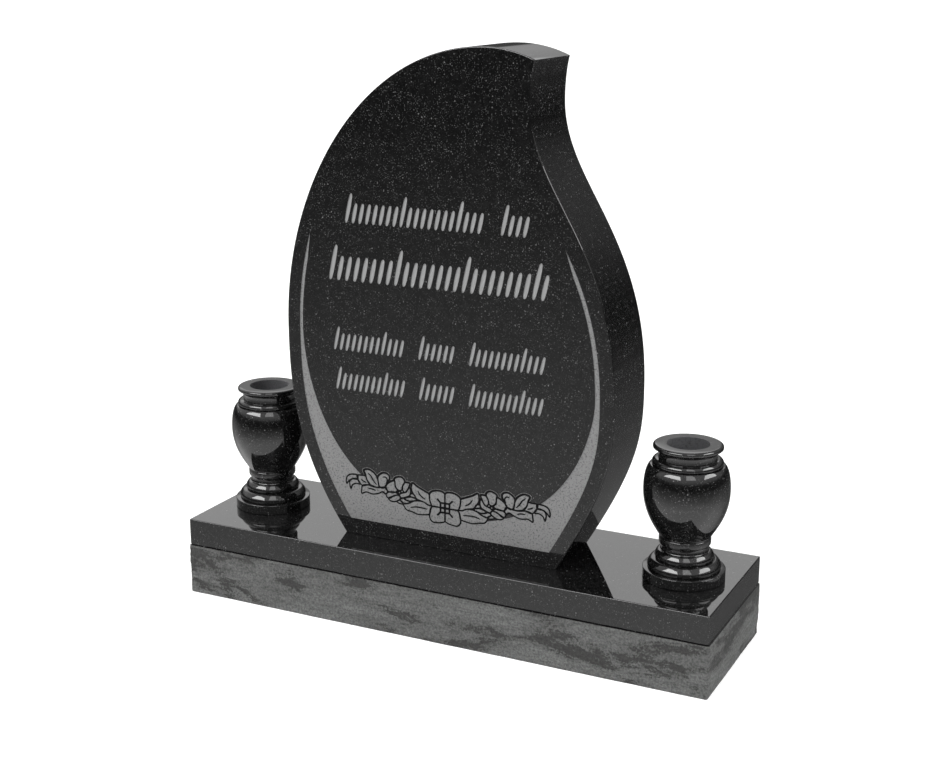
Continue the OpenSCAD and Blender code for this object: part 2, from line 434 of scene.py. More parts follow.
@dataclass(frozen=True)
class PolishedGranite:
    """Black granite, sawn, ground and buffed with tin oxide.

    The ground is nearly black and mirror smooth, so most of what shows is reflection. Fine grey
    and white feldspar crystals lie in it and show best where the reflection is dark.

    Attributes:
        ground, haze, feldspar: The dark mineral, its paler clouds and the crystals.
        haze_mm, haze_band: A cloud's size, and the part of the noise that it fades in over.
        cluster_mm, cluster_band: The same for a crowd of crystals.
        density: How many crystals show outside and inside a crowd.
        bend_mm, bent_mm: Over what distance the crystals' edges bend, and how far.
        core: The share of a crystal's reach that is solid. Its rim fades.
        crystals: The kinds of crystal, finest first.
    """

    ground: str = "#0b0b0b"
    haze: str = "#151515"
    feldspar: str = "#747474"
    roughness: float = 0.035
    ior: float = 1.5
    haze_mm: float = 9.0
    haze_band: Point = (0.42, 0.66)
    cluster_mm: float = 22.0
    cluster_band: Point = (0.36, 0.62)
    density: Point = (0.35, 1.15)
    bend_mm: float = 3.0
    bent_mm: float = 1.0
    core: float = 0.45
    # Real crystals are in part under 1 mm apart. These start at 2.2 mm, so that they show.
    crystals: tuple[GrainLayer, ...] = (
        GrainLayer(2.2, 0.50, 0.40, 0.26),
        GrainLayer(3.6, 0.38, 0.34, 0.50),
        GrainLayer(6.5, 0.23, 0.34, 0.92),
    )

    def build(self) -> bpy.types.Material:
        """Make the material.

        Returns:
            The material.
        """
        material, tree = new_material("polished_black_granite")
        place = add_node(tree, "ShaderNodeTexCoord").outputs["Object"]
        cloud = add_node(tree, "ShaderNodeTexNoise", {
            "Vector": place, "Scale": per_metre(self.haze_mm), "Detail": 4.0, "Roughness": 0.75,
        }).outputs["Fac"]
        clear = add_node(tree, "ShaderNodeMapRange", {
            "Value": cloud, "From Min": self.haze_band[0], "From Max": self.haze_band[1],
        }, interpolation_type="SMOOTHSTEP").outputs["Result"]
        colour = add_node(tree, "ShaderNodeMix", {
            "Factor": clear, "A": linear(self.ground), "B": linear(self.haze),
        }, data_type="RGBA").outputs[2]
        thick = add_node(tree, "ShaderNodeTexNoise", {
            "Vector": place, "Scale": per_metre(self.cluster_mm), "Detail": 3.0, "Roughness": 0.6,
        }).outputs["Fac"]
        density = add_node(tree, "ShaderNodeMapRange", {
            "Value": thick, "From Min": self.cluster_band[0], "From Max": self.cluster_band[1],
            "To Min": self.density[0], "To Max": self.density[1],
        }).outputs["Result"]
        warp = add_node(tree, "ShaderNodeTexNoise", {
            "Vector": place, "Scale": per_metre(self.bend_mm), "Detail": 2.0,
        }).outputs["Color"]
        bent = add_node(tree, "ShaderNodeVectorMath", {
            0: warp, 1: (self.bent_mm * MM,) * 3, 2: place,
        }, operation="MULTIPLY_ADD").outputs["Vector"]
        for layer in self.crystals:
            cells = add_node(tree, "ShaderNodeTexVoronoi", {
                "Vector": bent, "Scale": per_metre(layer.size_mm), "Randomness": 1.0,
            })
            body = add_node(tree, "ShaderNodeMapRange", {
                "Value": cells.outputs["Distance"],
                "From Min": layer.reach, "From Max": layer.reach * self.core,
            }, interpolation_type="SMOOTHSTEP").outputs["Result"]
            picked = add_node(tree, "ShaderNodeSeparateColor", {0: cells.outputs["Color"]}).outputs[0]
            shown = add_node(tree, "ShaderNodeMapRange", {
                "Value": picked, "From Min": 1.0 - layer.share, "From Max": 1.0,
                "To Max": layer.strength,
            }).outputs["Result"]
            amount = add_node(tree, "ShaderNodeMath", {0: body, 1: shown}, operation="MULTIPLY")
            dense = add_node(tree, "ShaderNodeMath", {
                0: amount.outputs[0], 1: density,
            }, operation="MULTIPLY").outputs[0]
            colour = add_node(tree, "ShaderNodeMix", {
                "Factor": dense, "A": colour, "B": linear(self.feldspar),
            }, data_type="RGBA").outputs[2]
        shader = add_node(tree, "ShaderNodeBsdfPrincipled", {
            "Base Color": colour, "Roughness": self.roughness, "IOR": self.ior,
        })
        add_node(tree, "ShaderNodeOutputMaterial", {"Surface": shader.outputs[0]})
        return material


@dataclass(frozen=True)
class FrostedGranite:
    """The same granite, blasted with fine grit.

    Every crystal is bruised, so the surface scatters light and turns an even pale grey, with the
    dark mineral still showing through as fine pepper.

    Attributes:
        name: The material's name.
        pale, pepper: The bruised stone and the dark mineral.
        pepper_mm, pepper_band: A dark grain's size, and the part of the noise that it fades in over.
        grit_mm, bump_mm, bump_strength: The size, depth and strength of the blasted texture.
    """

    name: str = "frosted_granite"
    pale: str = "#747474"
    pepper: str = "#3a3a3a"
    roughness: float = 0.72
    ior: float = 1.5
    pepper_mm: float = 3.4
    pepper_band: Point = (0.50, 0.70)
    # Blasting grit is finer than this. It is drawn at 0.9 mm, so that it shows.
    grit_mm: float = 0.9
    bump_mm: float = 0.12
    bump_strength: float = 0.6

    def build(self) -> bpy.types.Material:
        """Make the material.

        Returns:
            The material.
        """
        material, tree = new_material(self.name)
        place = add_node(tree, "ShaderNodeTexCoord").outputs["Object"]
        grain = add_node(tree, "ShaderNodeTexNoise", {
            "Vector": place, "Scale": per_metre(self.pepper_mm), "Detail": 3.0, "Roughness": 0.65,
        }).outputs["Fac"]
        dark = add_node(tree, "ShaderNodeMapRange", {
            "Value": grain, "From Min": self.pepper_band[0], "From Max": self.pepper_band[1],
        }).outputs["Result"]
        colour = add_node(tree, "ShaderNodeMix", {
            "Factor": dark, "A": linear(self.pale), "B": linear(self.pepper),
        }, data_type="RGBA").outputs[2]
        grit = add_node(tree, "ShaderNodeTexNoise", {
            "Vector": place, "Scale": per_metre(self.grit_mm), "Detail": 2.0,
        }).outputs["Fac"]
        bump = add_node(tree, "ShaderNodeBump", {
            "Height": grit, "Distance": self.bump_mm * MM, "Strength": self.bump_strength,
        }).outputs["Normal"]
        shader = add_node(tree, "ShaderNodeBsdfPrincipled", {
            "Base Color": colour, "Roughness": self.roughness, "IOR": self.ior, "Normal": bump,
        })
        add_node(tree, "ShaderNodeOutputMaterial", {"Surface": shader.outputs[0]})
        return material


@dataclass(frozen=True)
class StonePaint:
    """Lithographic stone paint, brushed into a blasted cut.

    It is matt and even, and only the grit of the cut gives it any texture.

    Attributes:
        name: The material's name.
        colour: The paint.
        grit_mm, bump_mm, bump_strength: The size, depth and strength of the cut's texture.
        tones: How much darker and paler the grit makes the paint.
    """

    name: str
    colour: str
    roughness: float = 0.8
    ior: float = 1.5
    # The grit of the cut, drawn coarser than it is, at 1.2 mm, so that it shows.
    grit_mm: float = 1.2
    tones: Point = (0.86, 1.12)
    bump_mm: float = 0.1
    bump_strength: float = 0.5

    def build(self) -> bpy.types.Material:
        """Make the material.

        Returns:
            The material.
        """
        material, tree = new_material(self.name)
        place = add_node(tree, "ShaderNodeTexCoord").outputs["Object"]
        grit = add_node(tree, "ShaderNodeTexNoise", {
            "Vector": place, "Scale": per_metre(self.grit_mm), "Detail": 2.0,
        }).outputs["Fac"]
        tone = add_node(tree, "ShaderNodeMapRange", {
            "Value": grit, "To Min": self.tones[0], "To Max": self.tones[1],
        }).outputs["Result"]
        colour = add_node(tree, "ShaderNodeMix", {
            "Factor": 1.0, "A": linear(self.colour), "B": tone,
        }, data_type="RGBA", blend_type="MULTIPLY").outputs[2]
        bump = add_node(tree, "ShaderNodeBump", {
            "Height": grit, "Distance": self.bump_mm * MM, "Strength": self.bump_strength,
        }).outputs["Normal"]
        shader = add_node(tree, "ShaderNodeBsdfPrincipled", {
            "Base Color": colour, "Roughness": self.roughness, "IOR": self.ior, "Normal": bump,
        })
        add_node(tree, "ShaderNodeOutputMaterial", {"Surface": shader.outputs[0]})
        return material


@dataclass(frozen=True)
class RockPitchedGranite:
    """The granite as it breaks under the pitching chisel.

    The broken crystals are dull and mid grey. Darker smudges run across the face along the scallops:
    a trace of saw slurry, and painted shade where the chisel hollows are deep. The pits of the
    broken crystals are painted darker as well, as painted shade.

    Attributes:
        light, mid, dark: The open face, its duller parts, and the smudges, which are slurry and painted
            shade in the hollows.
        tilt_deg, stretch: How the streaks lean, and how they are drawn out along the face.
        patch_mm, patch_band: A duller part's size, and the part of the noise that it fades in over.
        hollow_shade_in_smudge, grain_in_smudge_and_shade: How far the hollows, as painted shade, and the
        grain shape the smudges.
        smudge_and_shade_band: The part of the noise that the smudges and their painted shade fade in over.
        streak_mm, streak_share: A streak's size, and its share of the texture.
        crumb_mm, crumb_depth_mm: The size and depth of a broken crystal.
        pit_shade_band, tones: The part of the texture that goes from pale to dark, and how far: darker in
            the crumb's pits as painted shade, and along the streaks.
        depth_layer: The mesh layer that says how hollow the face is. It drives the painted shade in the
            hollows.
    """

    light: str = "#595a59"
    mid: str = "#40403f"
    # The smudges' colour: saw slurry, and painted shade in the chisel hollows.
    dark: str = "#2a2a29"
    roughness: float = 0.78
    tilt_deg: float = 24.0
    stretch: Place = (0.36, 0.36, 1.7)
    patch_mm: float = 74.0
    patch_band: Point = (0.36, 0.62)
    hollow_shade_in_smudge: float = 0.30
    grain_in_smudge_and_shade: float = 0.20
    smudge_and_shade_band: Point = (0.685, 0.735)
    streak_mm: float = 13.0
    streak_share: float = 0.38
    # Broken crystals are 1 to 3 mm across. They are drawn at 4.4 mm, so that they show.
    crumb_mm: float = 4.4
    pit_shade_band: Point = (0.40, 0.60)
    tones: Point = (1.40, 0.52)
    crumb_depth_mm: float = 1.5
    depth_layer: str = "hollow"

    def build(self) -> bpy.types.Material:
        """Make the material.

        Returns:
            The material.
        """
        material, tree = new_material("rock_pitched_granite")
        place = add_node(tree, "ShaderNodeTexCoord").outputs["Object"]
        hollow = add_node(tree, "ShaderNodeAttribute", attribute_name=self.depth_layer).outputs["Fac"]
        stretched = add_node(tree, "ShaderNodeMapping", {
            "Vector": place, "Rotation": (0.0, math.radians(self.tilt_deg), 0.0), "Scale": self.stretch,
        }).outputs["Vector"]
        patches = add_node(tree, "ShaderNodeTexNoise", {
            "Vector": stretched, "Scale": per_metre(self.patch_mm), "Detail": 10.0, "Roughness": 0.66,
            "Distortion": 0.8,
        }).outputs["Fac"]
        # Deeper chisel hollows push the patches towards the dark smudges: painted shade.
        both = add_node(tree, "ShaderNodeMath", {
            0: hollow, 1: self.hollow_shade_in_smudge, 2: patches,
        }, operation="MULTIPLY_ADD").outputs[0]
        grain = add_node(tree, "ShaderNodeTexNoise", {
            "Vector": place, "Scale": per_metre(self.crumb_mm), "Detail": 2.0, "Roughness": 0.8,
        }).outputs["Fac"]
        ragged = add_node(tree, "ShaderNodeMath", {
            0: grain, 1: self.grain_in_smudge_and_shade, 2: both,
        }, operation="MULTIPLY_ADD").outputs[0]
        # Smudges of slurry, with painted shade where the hollows are deep.
        smudge_and_hollow_shade = add_node(tree, "ShaderNodeMapRange", {
            "Value": ragged, "From Min": self.smudge_and_shade_band[0], "From Max": self.smudge_and_shade_band[1],
        }).outputs["Result"]
        soft = add_node(tree, "ShaderNodeMapRange", {
            "Value": patches, "From Min": self.patch_band[0], "From Max": self.patch_band[1],
        }).outputs["Result"]
        colour = add_node(tree, "ShaderNodeMix", {
            "Factor": soft, "A": linear(self.light), "B": linear(self.mid),
        }, data_type="RGBA").outputs[2]
        colour = add_node(tree, "ShaderNodeMix", {
            "Factor": smudge_and_hollow_shade, "A": colour, "B": linear(self.dark),
        }, data_type="RGBA").outputs[2]
        streaks = add_node(tree, "ShaderNodeTexNoise", {
            "Vector": stretched, "Scale": per_metre(self.streak_mm), "Detail": 5.0, "Roughness": 0.75,
            "Distortion": 1.6,
        }).outputs["Fac"]
        # The crumb noise also sinks the face in the bump below, and its pits come out darker: painted shade,
        # mixed with the random streaks.
        broken = add_node(tree, "ShaderNodeMix", {
            "Factor": self.streak_share, "A": grain, "B": streaks,
        }).outputs[0]
        tone = add_node(tree, "ShaderNodeMapRange", {
            "Value": broken, "From Min": self.pit_shade_band[0], "From Max": self.pit_shade_band[1],
            "To Min": self.tones[0], "To Max": self.tones[1],
        }).outputs["Result"]
        colour = add_node(tree, "ShaderNodeMix", {
            "Factor": 1.0, "A": colour, "B": tone,
        }, data_type="RGBA", blend_type="MULTIPLY").outputs[2]
        bump = add_node(tree, "ShaderNodeBump", {
            "Height": grain, "Distance": -self.crumb_depth_mm * MM, "Strength": 1.0,
        }).outputs["Normal"]
        shader = add_node(tree, "ShaderNodeBsdfPrincipled", {
            "Base Color": colour, "Roughness": self.roughness, "Normal": bump,
        })
        add_node(tree, "ShaderNodeOutputMaterial", {"Surface": shader.outputs[0]})
        return material


class Finishes:
    """Every finish on the memorial, made once and shared by the stones."""

    def __init__(self) -> None:
        """Build the materials."""
        self.polished = PolishedGranite().build()
        self.frosted = FrostedGranite().build()
        self.drilled = FrostedGranite(name="core_drilled_granite", pale="#4c4c4e", pepper="#333335").build()
        self.rock = RockPitchedGranite().build()
        self.cut_line = StonePaint("black_stone_paint", "#070708", ior=1.2).build()
        self.lettering = StonePaint("pale_stone_paint", "#868686").build()


# ---------------------------------------------------------------- tablet


class Cut(Enum):
    """The depths, in millimetres, that the front of the tablet is cut to."""

    POLISHED = 0.0
    PETAL = 0.55
    PANEL = 1.0
    LETTER = 1.3
    LINE = 2.0


class Mark(Enum):
    """What a closed loop on the front stands for."""

    EDGE = 1
    PANEL = 2
    PETAL = 3
    LINE = 4
    GAP = 5
    RIM = 6
    VEIN = 7
    LETTER = 8


@dataclass
class TabletOutline:
    """The leaf-shaped outline, as (across, up) from the middle of the foot.

    A pull is how far a curve's handle reaches: the left side's before the right side's, and the
    crown's and neck's in the order that the outline meets them. The tip's two handles are given as
    (reach, degrees). A slope is counted in degrees from level, and steps are samples of a curve.
    """

    left_reach: float
    right_reach: float
    height: float
    foot_half: float = 219.0
    left_foot_slope: float = 54.5
    right_foot_slope: float = 59.0
    left_belly_z: float = 396.0
    right_belly_z: float = 320.0
    crown_x: float = 73.0
    tip_run: float = 96.0
    tip_drop: float = 20.0
    neck_back: float = 8.0
    neck_drop: float = 74.0
    foot_pull: float = 203.0
    belly_low_pull: Point = (98.0, 85.0)
    belly_high_pull: Point = (273.0, 279.0)
    crown_pull: Point = (234.0, 40.0)
    tip_top: Point = (25.0, 24.0)
    tip_side: Point = (22.0, 16.0)
    neck_pull: Point = (20.0, 152.0)
    long_steps: int = 110
    middle_steps: int = 60
    short_steps: int = 24

    def __post_init__(self) -> None:
        """Name the outline's turning points."""
        self.foot_l = (-self.foot_half, 0.0)
        self.foot_r = (self.foot_half, 0.0)
        self.belly_l = (-self.left_reach, self.left_belly_z)
        self.belly_r = (self.right_reach, self.right_belly_z)
        self.crown = (self.crown_x, self.height)
        self.tip = (self.crown_x + self.tip_run, self.height - self.tip_drop)
        self.neck = (self.tip[0] - self.neck_back, self.tip[1] - self.neck_drop)

    def left_side(self) -> Loop:
        """Give the left side, from the foot over the belly to the crown.

        Returns:
            The points, without the crown itself.
        """
        foot, belly, crown = self.foot_l, self.belly_l, self.crown
        low = cubic(foot, polar(foot, self.foot_pull, 180 - self.left_foot_slope),
                    (belly[0], belly[1] - self.belly_low_pull[0]), belly, self.middle_steps)
        high = cubic(belly, (belly[0], belly[1] + self.belly_high_pull[0]),
                     (crown[0] - self.crown_pull[0], crown[1]), crown, self.long_steps)
        return low + high

    def top(self) -> Loop:
        """Give the top, from the crown over the tip to the neck.

        Returns:
            The points, without the neck itself.
        """
        crown, tip, neck = self.crown, self.tip, self.neck
        over = cubic(crown, (crown[0] + self.crown_pull[1], crown[1]),
                     polar(tip, self.tip_top[0], 180 - self.tip_top[1]), tip, self.short_steps)
        down = cubic(tip, polar(tip, self.tip_side[0], -90 - self.tip_side[1]),
                     (neck[0], neck[1] + self.neck_pull[0]), neck, self.short_steps)
        return over + down

    def right_side(self) -> Loop:
        """Give the right side, from the neck over the belly to the foot.

        Returns:
            The points, with the foot.
        """
        neck, belly, foot = self.neck, self.belly_r, self.foot_r
        high = cubic(neck, (neck[0], neck[1] - self.neck_pull[1]),
                     (belly[0], belly[1] + self.belly_high_pull[1]), belly, self.long_steps)
        low = cubic(belly, (belly[0], belly[1] - self.belly_low_pull[1]),
                    polar(foot, self.foot_pull, self.right_foot_slope), foot, self.middle_steps)
        return high + low + [foot]

    def loop(self) -> Loop:
        """Give the whole outline as an anticlockwise loop."""
        return anticlockwise(self.left_side() + self.top() + self.right_side())


@dataclass
class FrostedPanel:
    """The crescent that is blasted into the lower front, with an arm up each side of the text.

    Attributes:
        outline: The slab's outline, which the panel follows.
        border, foot_strip: The polish left beside the panel and under it.
        left_tip_z, right_tip_z: The heights of the arms' tips.
        right_lean: How far the right arm's outer edge leans in on its way to the tip.
        left_arm, right_arm: The widths of the arms.
        taper: How far under its tip an arm begins to narrow.
        bowl_z: The lowest height of the inner edge.
        turn_pull, bottom_pull: How far that edge's handles reach, left before right.
    """

    outline: TabletOutline
    border: float = 27.0
    foot_strip: float = 31.0
    left_tip_z: float = 580.0
    right_tip_z: float = 587.0
    right_lean: float = 2.5
    left_arm: float = 6.5
    right_arm: float = 9.0
    taper: float = 47.0
    bowl_z: float = 62.0
    turn_pull: Point = (87.0, 28.0)
    bottom_pull: Point = (256.0, 260.0)

    def outer_right(self) -> Loop:
        """Give the right outer edge, which leans in as it nears its tip.

        Returns:
            The edge, in the order of the outline.
        """
        belly_z = self.outline.right_belly_z
        span = self.right_tip_z - belly_z
        run = moved_in(self.outline.right_side(), self.border)
        return [(x - self.right_lean * max((z - belly_z) / span, 0.0), z) for x, z in run]

    def bowl(self) -> Loop:
        """Give the inner edge: down the left arm, round the bowl and up the right arm.

        Returns:
            The edge, without the two tips.
        """
        shape = self.outline
        left = moved_in(shape.left_side(), self.border + self.left_arm)
        right = moved_in(shape.right_side(), self.border + self.right_arm)
        turn_l = at_height(left, shape.left_belly_z)
        turn_r = at_height(right, shape.right_belly_z)
        low = (0.0, self.bowl_z)
        down = cubic(turn_l, (turn_l[0], turn_l[1] - self.turn_pull[0]),
                     (low[0] - self.bottom_pull[0], low[1]), low, shape.long_steps)
        rise = cubic(low, (low[0] + self.bottom_pull[1], low[1]),
                     (turn_r[0], turn_r[1] - self.turn_pull[1]), turn_r, shape.long_steps)
        arm_l = between(left, shape.left_belly_z, self.left_tip_z - self.taper)[::-1]
        arm_r = between(right, shape.right_belly_z, self.right_tip_z - self.taper)[::-1]
        return arm_l + down + rise + [turn_r] + arm_r

    def loop(self) -> Loop:
        """Give the panel's edge as an anticlockwise loop.

        Returns:
            The loop.
        """
        outer_l = moved_in(self.outline.left_side(), self.border)
        outer_r = self.outer_right()
        tip_l = at_height(outer_l, self.left_tip_z)
        tip_r = at_height(outer_r, self.right_tip_z)
        foot_l = at_height(outer_l, self.foot_strip)
        foot_r = at_height(outer_r[::-1], self.foot_strip)
        up_left = [foot_l] + between(outer_l, self.foot_strip, self.left_tip_z)[:-1]
        down_right = between(outer_r, self.foot_strip, self.right_tip_z)[1:] + [foot_r]
        up_left = [p for p in up_left if p[0] < 0]
        return anticlockwise(up_left + [tip_l] + self.bowl() + [tip_r] + down_right)


@dataclass
class Leaf:
    """One petal or leaf of the spray: its edge, and the vein cut down its middle.

    Attributes:
        edge: Points that its edge passes through.
        vein: Points that its vein passes through, if it has one.
        rim: Whether a frosted rim sets it off from the polish.
    """

    edge: list[Point]
    vein: list[Point] = field(default_factory=list)
    rim: bool = False


@dataclass
class Spray:
    """A band of flowers and leaves, drawn from its middle outwards and mirrored about it.

    Places are (outwards, up) from the spray's middle line and the tablet's foot.

    Attributes:
        middle_x: Where the middle line stands.
        line_w: The width of the cut line round a petal.
        gap_w, rim_w: The widths of the polish outside that line, and of the frosted rim round it.
        steps: Samples between two points of an edge.
        eye_half, eye_z, eye_line_w: The middle lattice's half width, its height and its cuts' width.
        vein_reach: How far the veins run out from the lattice's corners.
        stamens, stamen_r: The places and the radius of a side flower's stamens.
    """

    middle_x: float = -5.0
    line_w: float = 3.1
    gap_w: float = 1.4
    rim_w: float = 0.9
    steps: int = 5
    eye_half: float = 9.3
    eye_z: float = 82.2
    eye_line_w: float = 3.875
    vein_reach: float = 7.0
    stamens: tuple[Point, ...] = ((96.0, 98.0), (90.5, 101.0))
    stamen_r: float = 2.9

    def leaves(self) -> list[Leaf]:
        """Give one half of the spray, from the middle flower outwards.

        Returns:
            The petals and leaves, in the order that they are cut.
        """
        upper_petal = Leaf([(0, 82), (0, 95), (0, 108), (5, 113), (15, 114), (26, 111), (32, 105),
                            (32, 94), (29, 85), (25, 82), (12, 82)], rim=True)
        lower_petal = Leaf([(0, 82), (12, 82), (25, 82), (30, 77), (32, 68), (32, 58), (26, 51),
                            (15, 51), (6, 53), (0, 57), (0, 70)])
        top_leaf = Leaf([(67, 121), (57, 115), (43, 109), (33, 104), (32, 94), (29, 84), (35, 83),
                         (44, 87), (52, 89), (59, 91), (65, 98), (70, 107), (70, 116)],
                        [(57, 108), (53, 101), (47, 96), (41, 93)], rim=True)
        low_leaf = Leaf([(28, 82), (36, 83), (44, 87), (54, 88), (65, 86), (76, 80), (87, 77),
                         (87, 73), (81, 66), (70, 64), (58, 61), (45, 62), (33, 65), (30, 75)],
                        [(73, 72), (61, 75), (49, 75), (37, 74)])
        twist = [
            Leaf([(59, 89), (66, 86), (76, 84), (86, 87), (79, 91), (68, 93)]),
            Leaf([(72, 83), (82, 78), (88, 78), (95, 84), (88, 88), (80, 85)]),
            Leaf([(87, 77), (95, 76), (102, 79), (95, 83)]),
            Leaf([(62, 92), (64, 98), (70, 100), (74, 96), (70, 93)]),
        ]
        side_flower = [
            Leaf([(106, 119), (106, 124), (100, 128), (92, 129), (86, 125), (85, 119), (89, 112),
                  (90, 105), (97, 102), (104, 108)], rim=True),
            Leaf([(85, 119), (80, 120), (74, 119), (76, 112), (81, 103), (86, 100), (90, 106),
                  (89, 112)], rim=True),
            Leaf([(74, 111), (72, 104), (74, 96), (80, 92), (92, 88), (97, 94), (90, 98),
                  (82, 101), (78, 107)]),
            Leaf([(106, 119), (114, 117), (121, 112), (127, 105), (124, 99), (118, 96),
                  (106, 97), (100, 102), (105, 108)], rim=True),
            Leaf([(120, 95), (125, 90), (122, 84), (116, 84), (108, 90), (99, 93), (104, 97),
                  (112, 97)]),
            Leaf([(120, 83), (114, 78), (104, 79), (95, 85), (95, 91), (101, 92), (109, 89)]),
        ]
        curl = Leaf([(140, 105), (142, 114), (142, 122), (137, 128), (129, 132), (120, 130),
                     (117, 124), (120, 117), (123, 110), (127, 104), (134, 101)],
                    [(132, 123), (126, 124), (122, 119), (125, 111)], rim=True)
        great_leaf = Leaf([(172, 131), (163, 134), (154, 131), (146, 124), (142, 114), (141, 102),
                           (152, 102), (162, 106), (167, 115), (169, 124)],
                          [(164, 127), (157, 121), (151, 112), (145, 106)], rim=True)
        side_leaf = Leaf([(187, 119), (177, 120), (169, 120), (166, 112), (160, 105), (167, 102),
                          (176, 100), (183, 105), (187, 112)],
                         [(179, 112), (174, 109), (167, 107)])
        foot_leaf = Leaf([(176, 100), (165, 103), (152, 101), (140, 101), (126, 104), (122, 96),
                          (126, 91), (132, 94), (142, 89), (155, 86), (168, 88), (178, 84),
                          (178, 93)],
                         [(164, 96), (155, 96), (147, 94)])
        tendrils = [
            Leaf([(187, 119), (200, 119), (209, 114), (212, 106), (211, 99), (206, 105),
                  (198, 110), (187, 111)]),
            Leaf([(187, 111), (198, 110), (204, 104), (204, 96), (202, 90), (198, 98),
                  (190, 102), (181, 102)]),
        ]
        return [upper_petal, lower_petal, top_leaf, low_leaf, *twist, *side_flower, curl,
                great_leaf, side_leaf, foot_leaf, *tendrils]

    def eye(self) -> list[Loop]:
        """Give the square lattice of stamens in the middle flower, with a vein off each corner.

        Returns:
            The outline of each cut bar.
        """
        half, reach = self.eye_half, self.vein_reach
        bars = []
        for k in (-half, 0.0, half):
            bars.append([(k, self.eye_z - half), (k, self.eye_z), (k, self.eye_z + half)])
            bars.append([(-half, self.eye_z + k), (0.0, self.eye_z + k), (half, self.eye_z + k)])
        for across in (-1, 1):
            for up in (-1, 1):
                near = (across * half, self.eye_z + up * half)
                bars.append([near, polar(near, reach / 2, 45 * up if across > 0 else 180 - 45 * up),
                             (near[0] + across * reach, near[1] + up * reach)])
        return [ribbon(bar, self.eye_line_w, False) for bar in bars]

    def dots(self) -> list[list[Point]]:
        """Give the round stamens of a side flower, as rings of points."""
        return [[polar(stamen, self.stamen_r, 60 * k) for k in range(6)] for stamen in self.stamens]

    def place(self, points: Sequence[Point], side: int) -> Loop:
        """Set (outwards, up) points on the tablet, to the right for side 1 and the left for -1."""
        return [(self.middle_x + side * out, up) for out, up in points]

    def mark(self, plate: "FrontPlate") -> None:
        """Draw the whole spray on the front plate.

        Args:
            plate: The front plate.
        """
        for side in (-1, 1):
            for leaf in self.leaves():
                edge = anticlockwise(smooth_run(self.place(leaf.edge, side), self.steps, True))
                self.outline(plate, edge, leaf.rim)
                if leaf.vein:
                    run = smooth_run(self.place(leaf.vein, side), self.steps, False)
                    plate.add(ribbon(run, self.line_w, True), Mark.VEIN)
            for ring in self.dots():
                edge = anticlockwise(smooth_run(self.place(ring, side), 2, True))
                self.outline(plate, edge, False)
        for bar in self.eye():
            plate.add(anticlockwise(self.place(bar, 1)), Mark.VEIN)

    def outline(self, plate: "FrontPlate", edge: Loop, rim: bool) -> None:
        """Add one petal: its fill, the cut line round it and, on the polish, a frosted rim.

        Args:
            plate: The front plate.
            edge: The petal's edge, anticlockwise.
            rim: Whether it stands out against the polish.
        """
        half = self.line_w / 2
        shape = plate.new_shape()
        plate.add(grown(edge, -half), Mark.PETAL, shape)
        plate.add(grown(edge, half), Mark.LINE, shape)
        if rim:
            plate.add(grown(edge, half + self.gap_w), Mark.GAP, shape)
            plate.add(grown(edge, half + self.gap_w + self.rim_w), Mark.RIM, shape)


@dataclass
class TextRow:
    """One row of the inscription's place: where it stands and how its strokes are grouped.

    Attributes:
        left, right: The ends of the row.
        base: The height of the line that the strokes stand on.
        small, tall: The heights of the short and the tall strokes.
        weight: The width of a stroke in its middle.
        groups: How many pairs of strokes each group holds.
    """

    left: float
    right: float
    base: float
    small: float
    tall: float
    weight: float
    groups: tuple[int, ...]


@dataclass
class Inscription:
    """Rows of shallow slanted strokes in the place of the inscription. They are no letters.

    Attributes:
        slant_deg: How far the strokes lean from upright.
        group_gap: The space between two groups, counted in pairs of strokes.
        lead: The space before a group's first stroke, counted the same way.
        tall_every: How many strokes there are from one tall stroke to the next.
        rows: The rows, from the top.
    """

    slant_deg: float = 13.0
    group_gap: float = 1.1
    lead: float = 0.12
    tall_every: int = 8
    rows: tuple[TextRow, ...] = (
        TextRow(-208, 162, 602, 37, 55, 7.6, (10, 2)),
        TextRow(-245, 200, 494, 46, 66, 8.8, (13,)),
        TextRow(-238, 195, 361, 33, 45, 6.56, (6, 3, 6)),
        TextRow(-235, 192, 285, 33, 44, 6.56, (6, 3, 6)),
    )

    def stroke(self, foot: Point, height: float, width: float) -> Loop:
        """Give one straight slanted stroke, pointed at both ends.

        Args:
            foot: Where it stands on the row's base line.
            height: How high it reaches over that line.
            width: Its width in the middle.

        Returns:
            The stroke's outline.
        """
        lean = math.tan(math.radians(self.slant_deg))
        run = [(foot[0] + lean * rise, foot[1] + rise) for rise in (0.0, height / 2, height)]
        return ribbon(smooth_run(run, 7, False), width, True)

    def mark(self, plate: "FrontPlate") -> None:
        """Cut every row into the front plate, as parallel strokes at one even spacing.

        Args:
            plate: The front plate.
        """
        for row in self.rows:
            slots = sum(row.groups) + self.group_gap * (len(row.groups) - 1)
            pitch = (row.right - row.left) / slots
            x = row.left
            for group in row.groups:
                for k in range(2 * group):
                    height = row.small if k % self.tall_every else row.tall
                    foot = (x + pitch * (k / 2 + self.lead), row.base)
                    plate.add(self.stroke(foot, height, row.weight), Mark.LETTER)
                x += pitch * (group + self.group_gap)


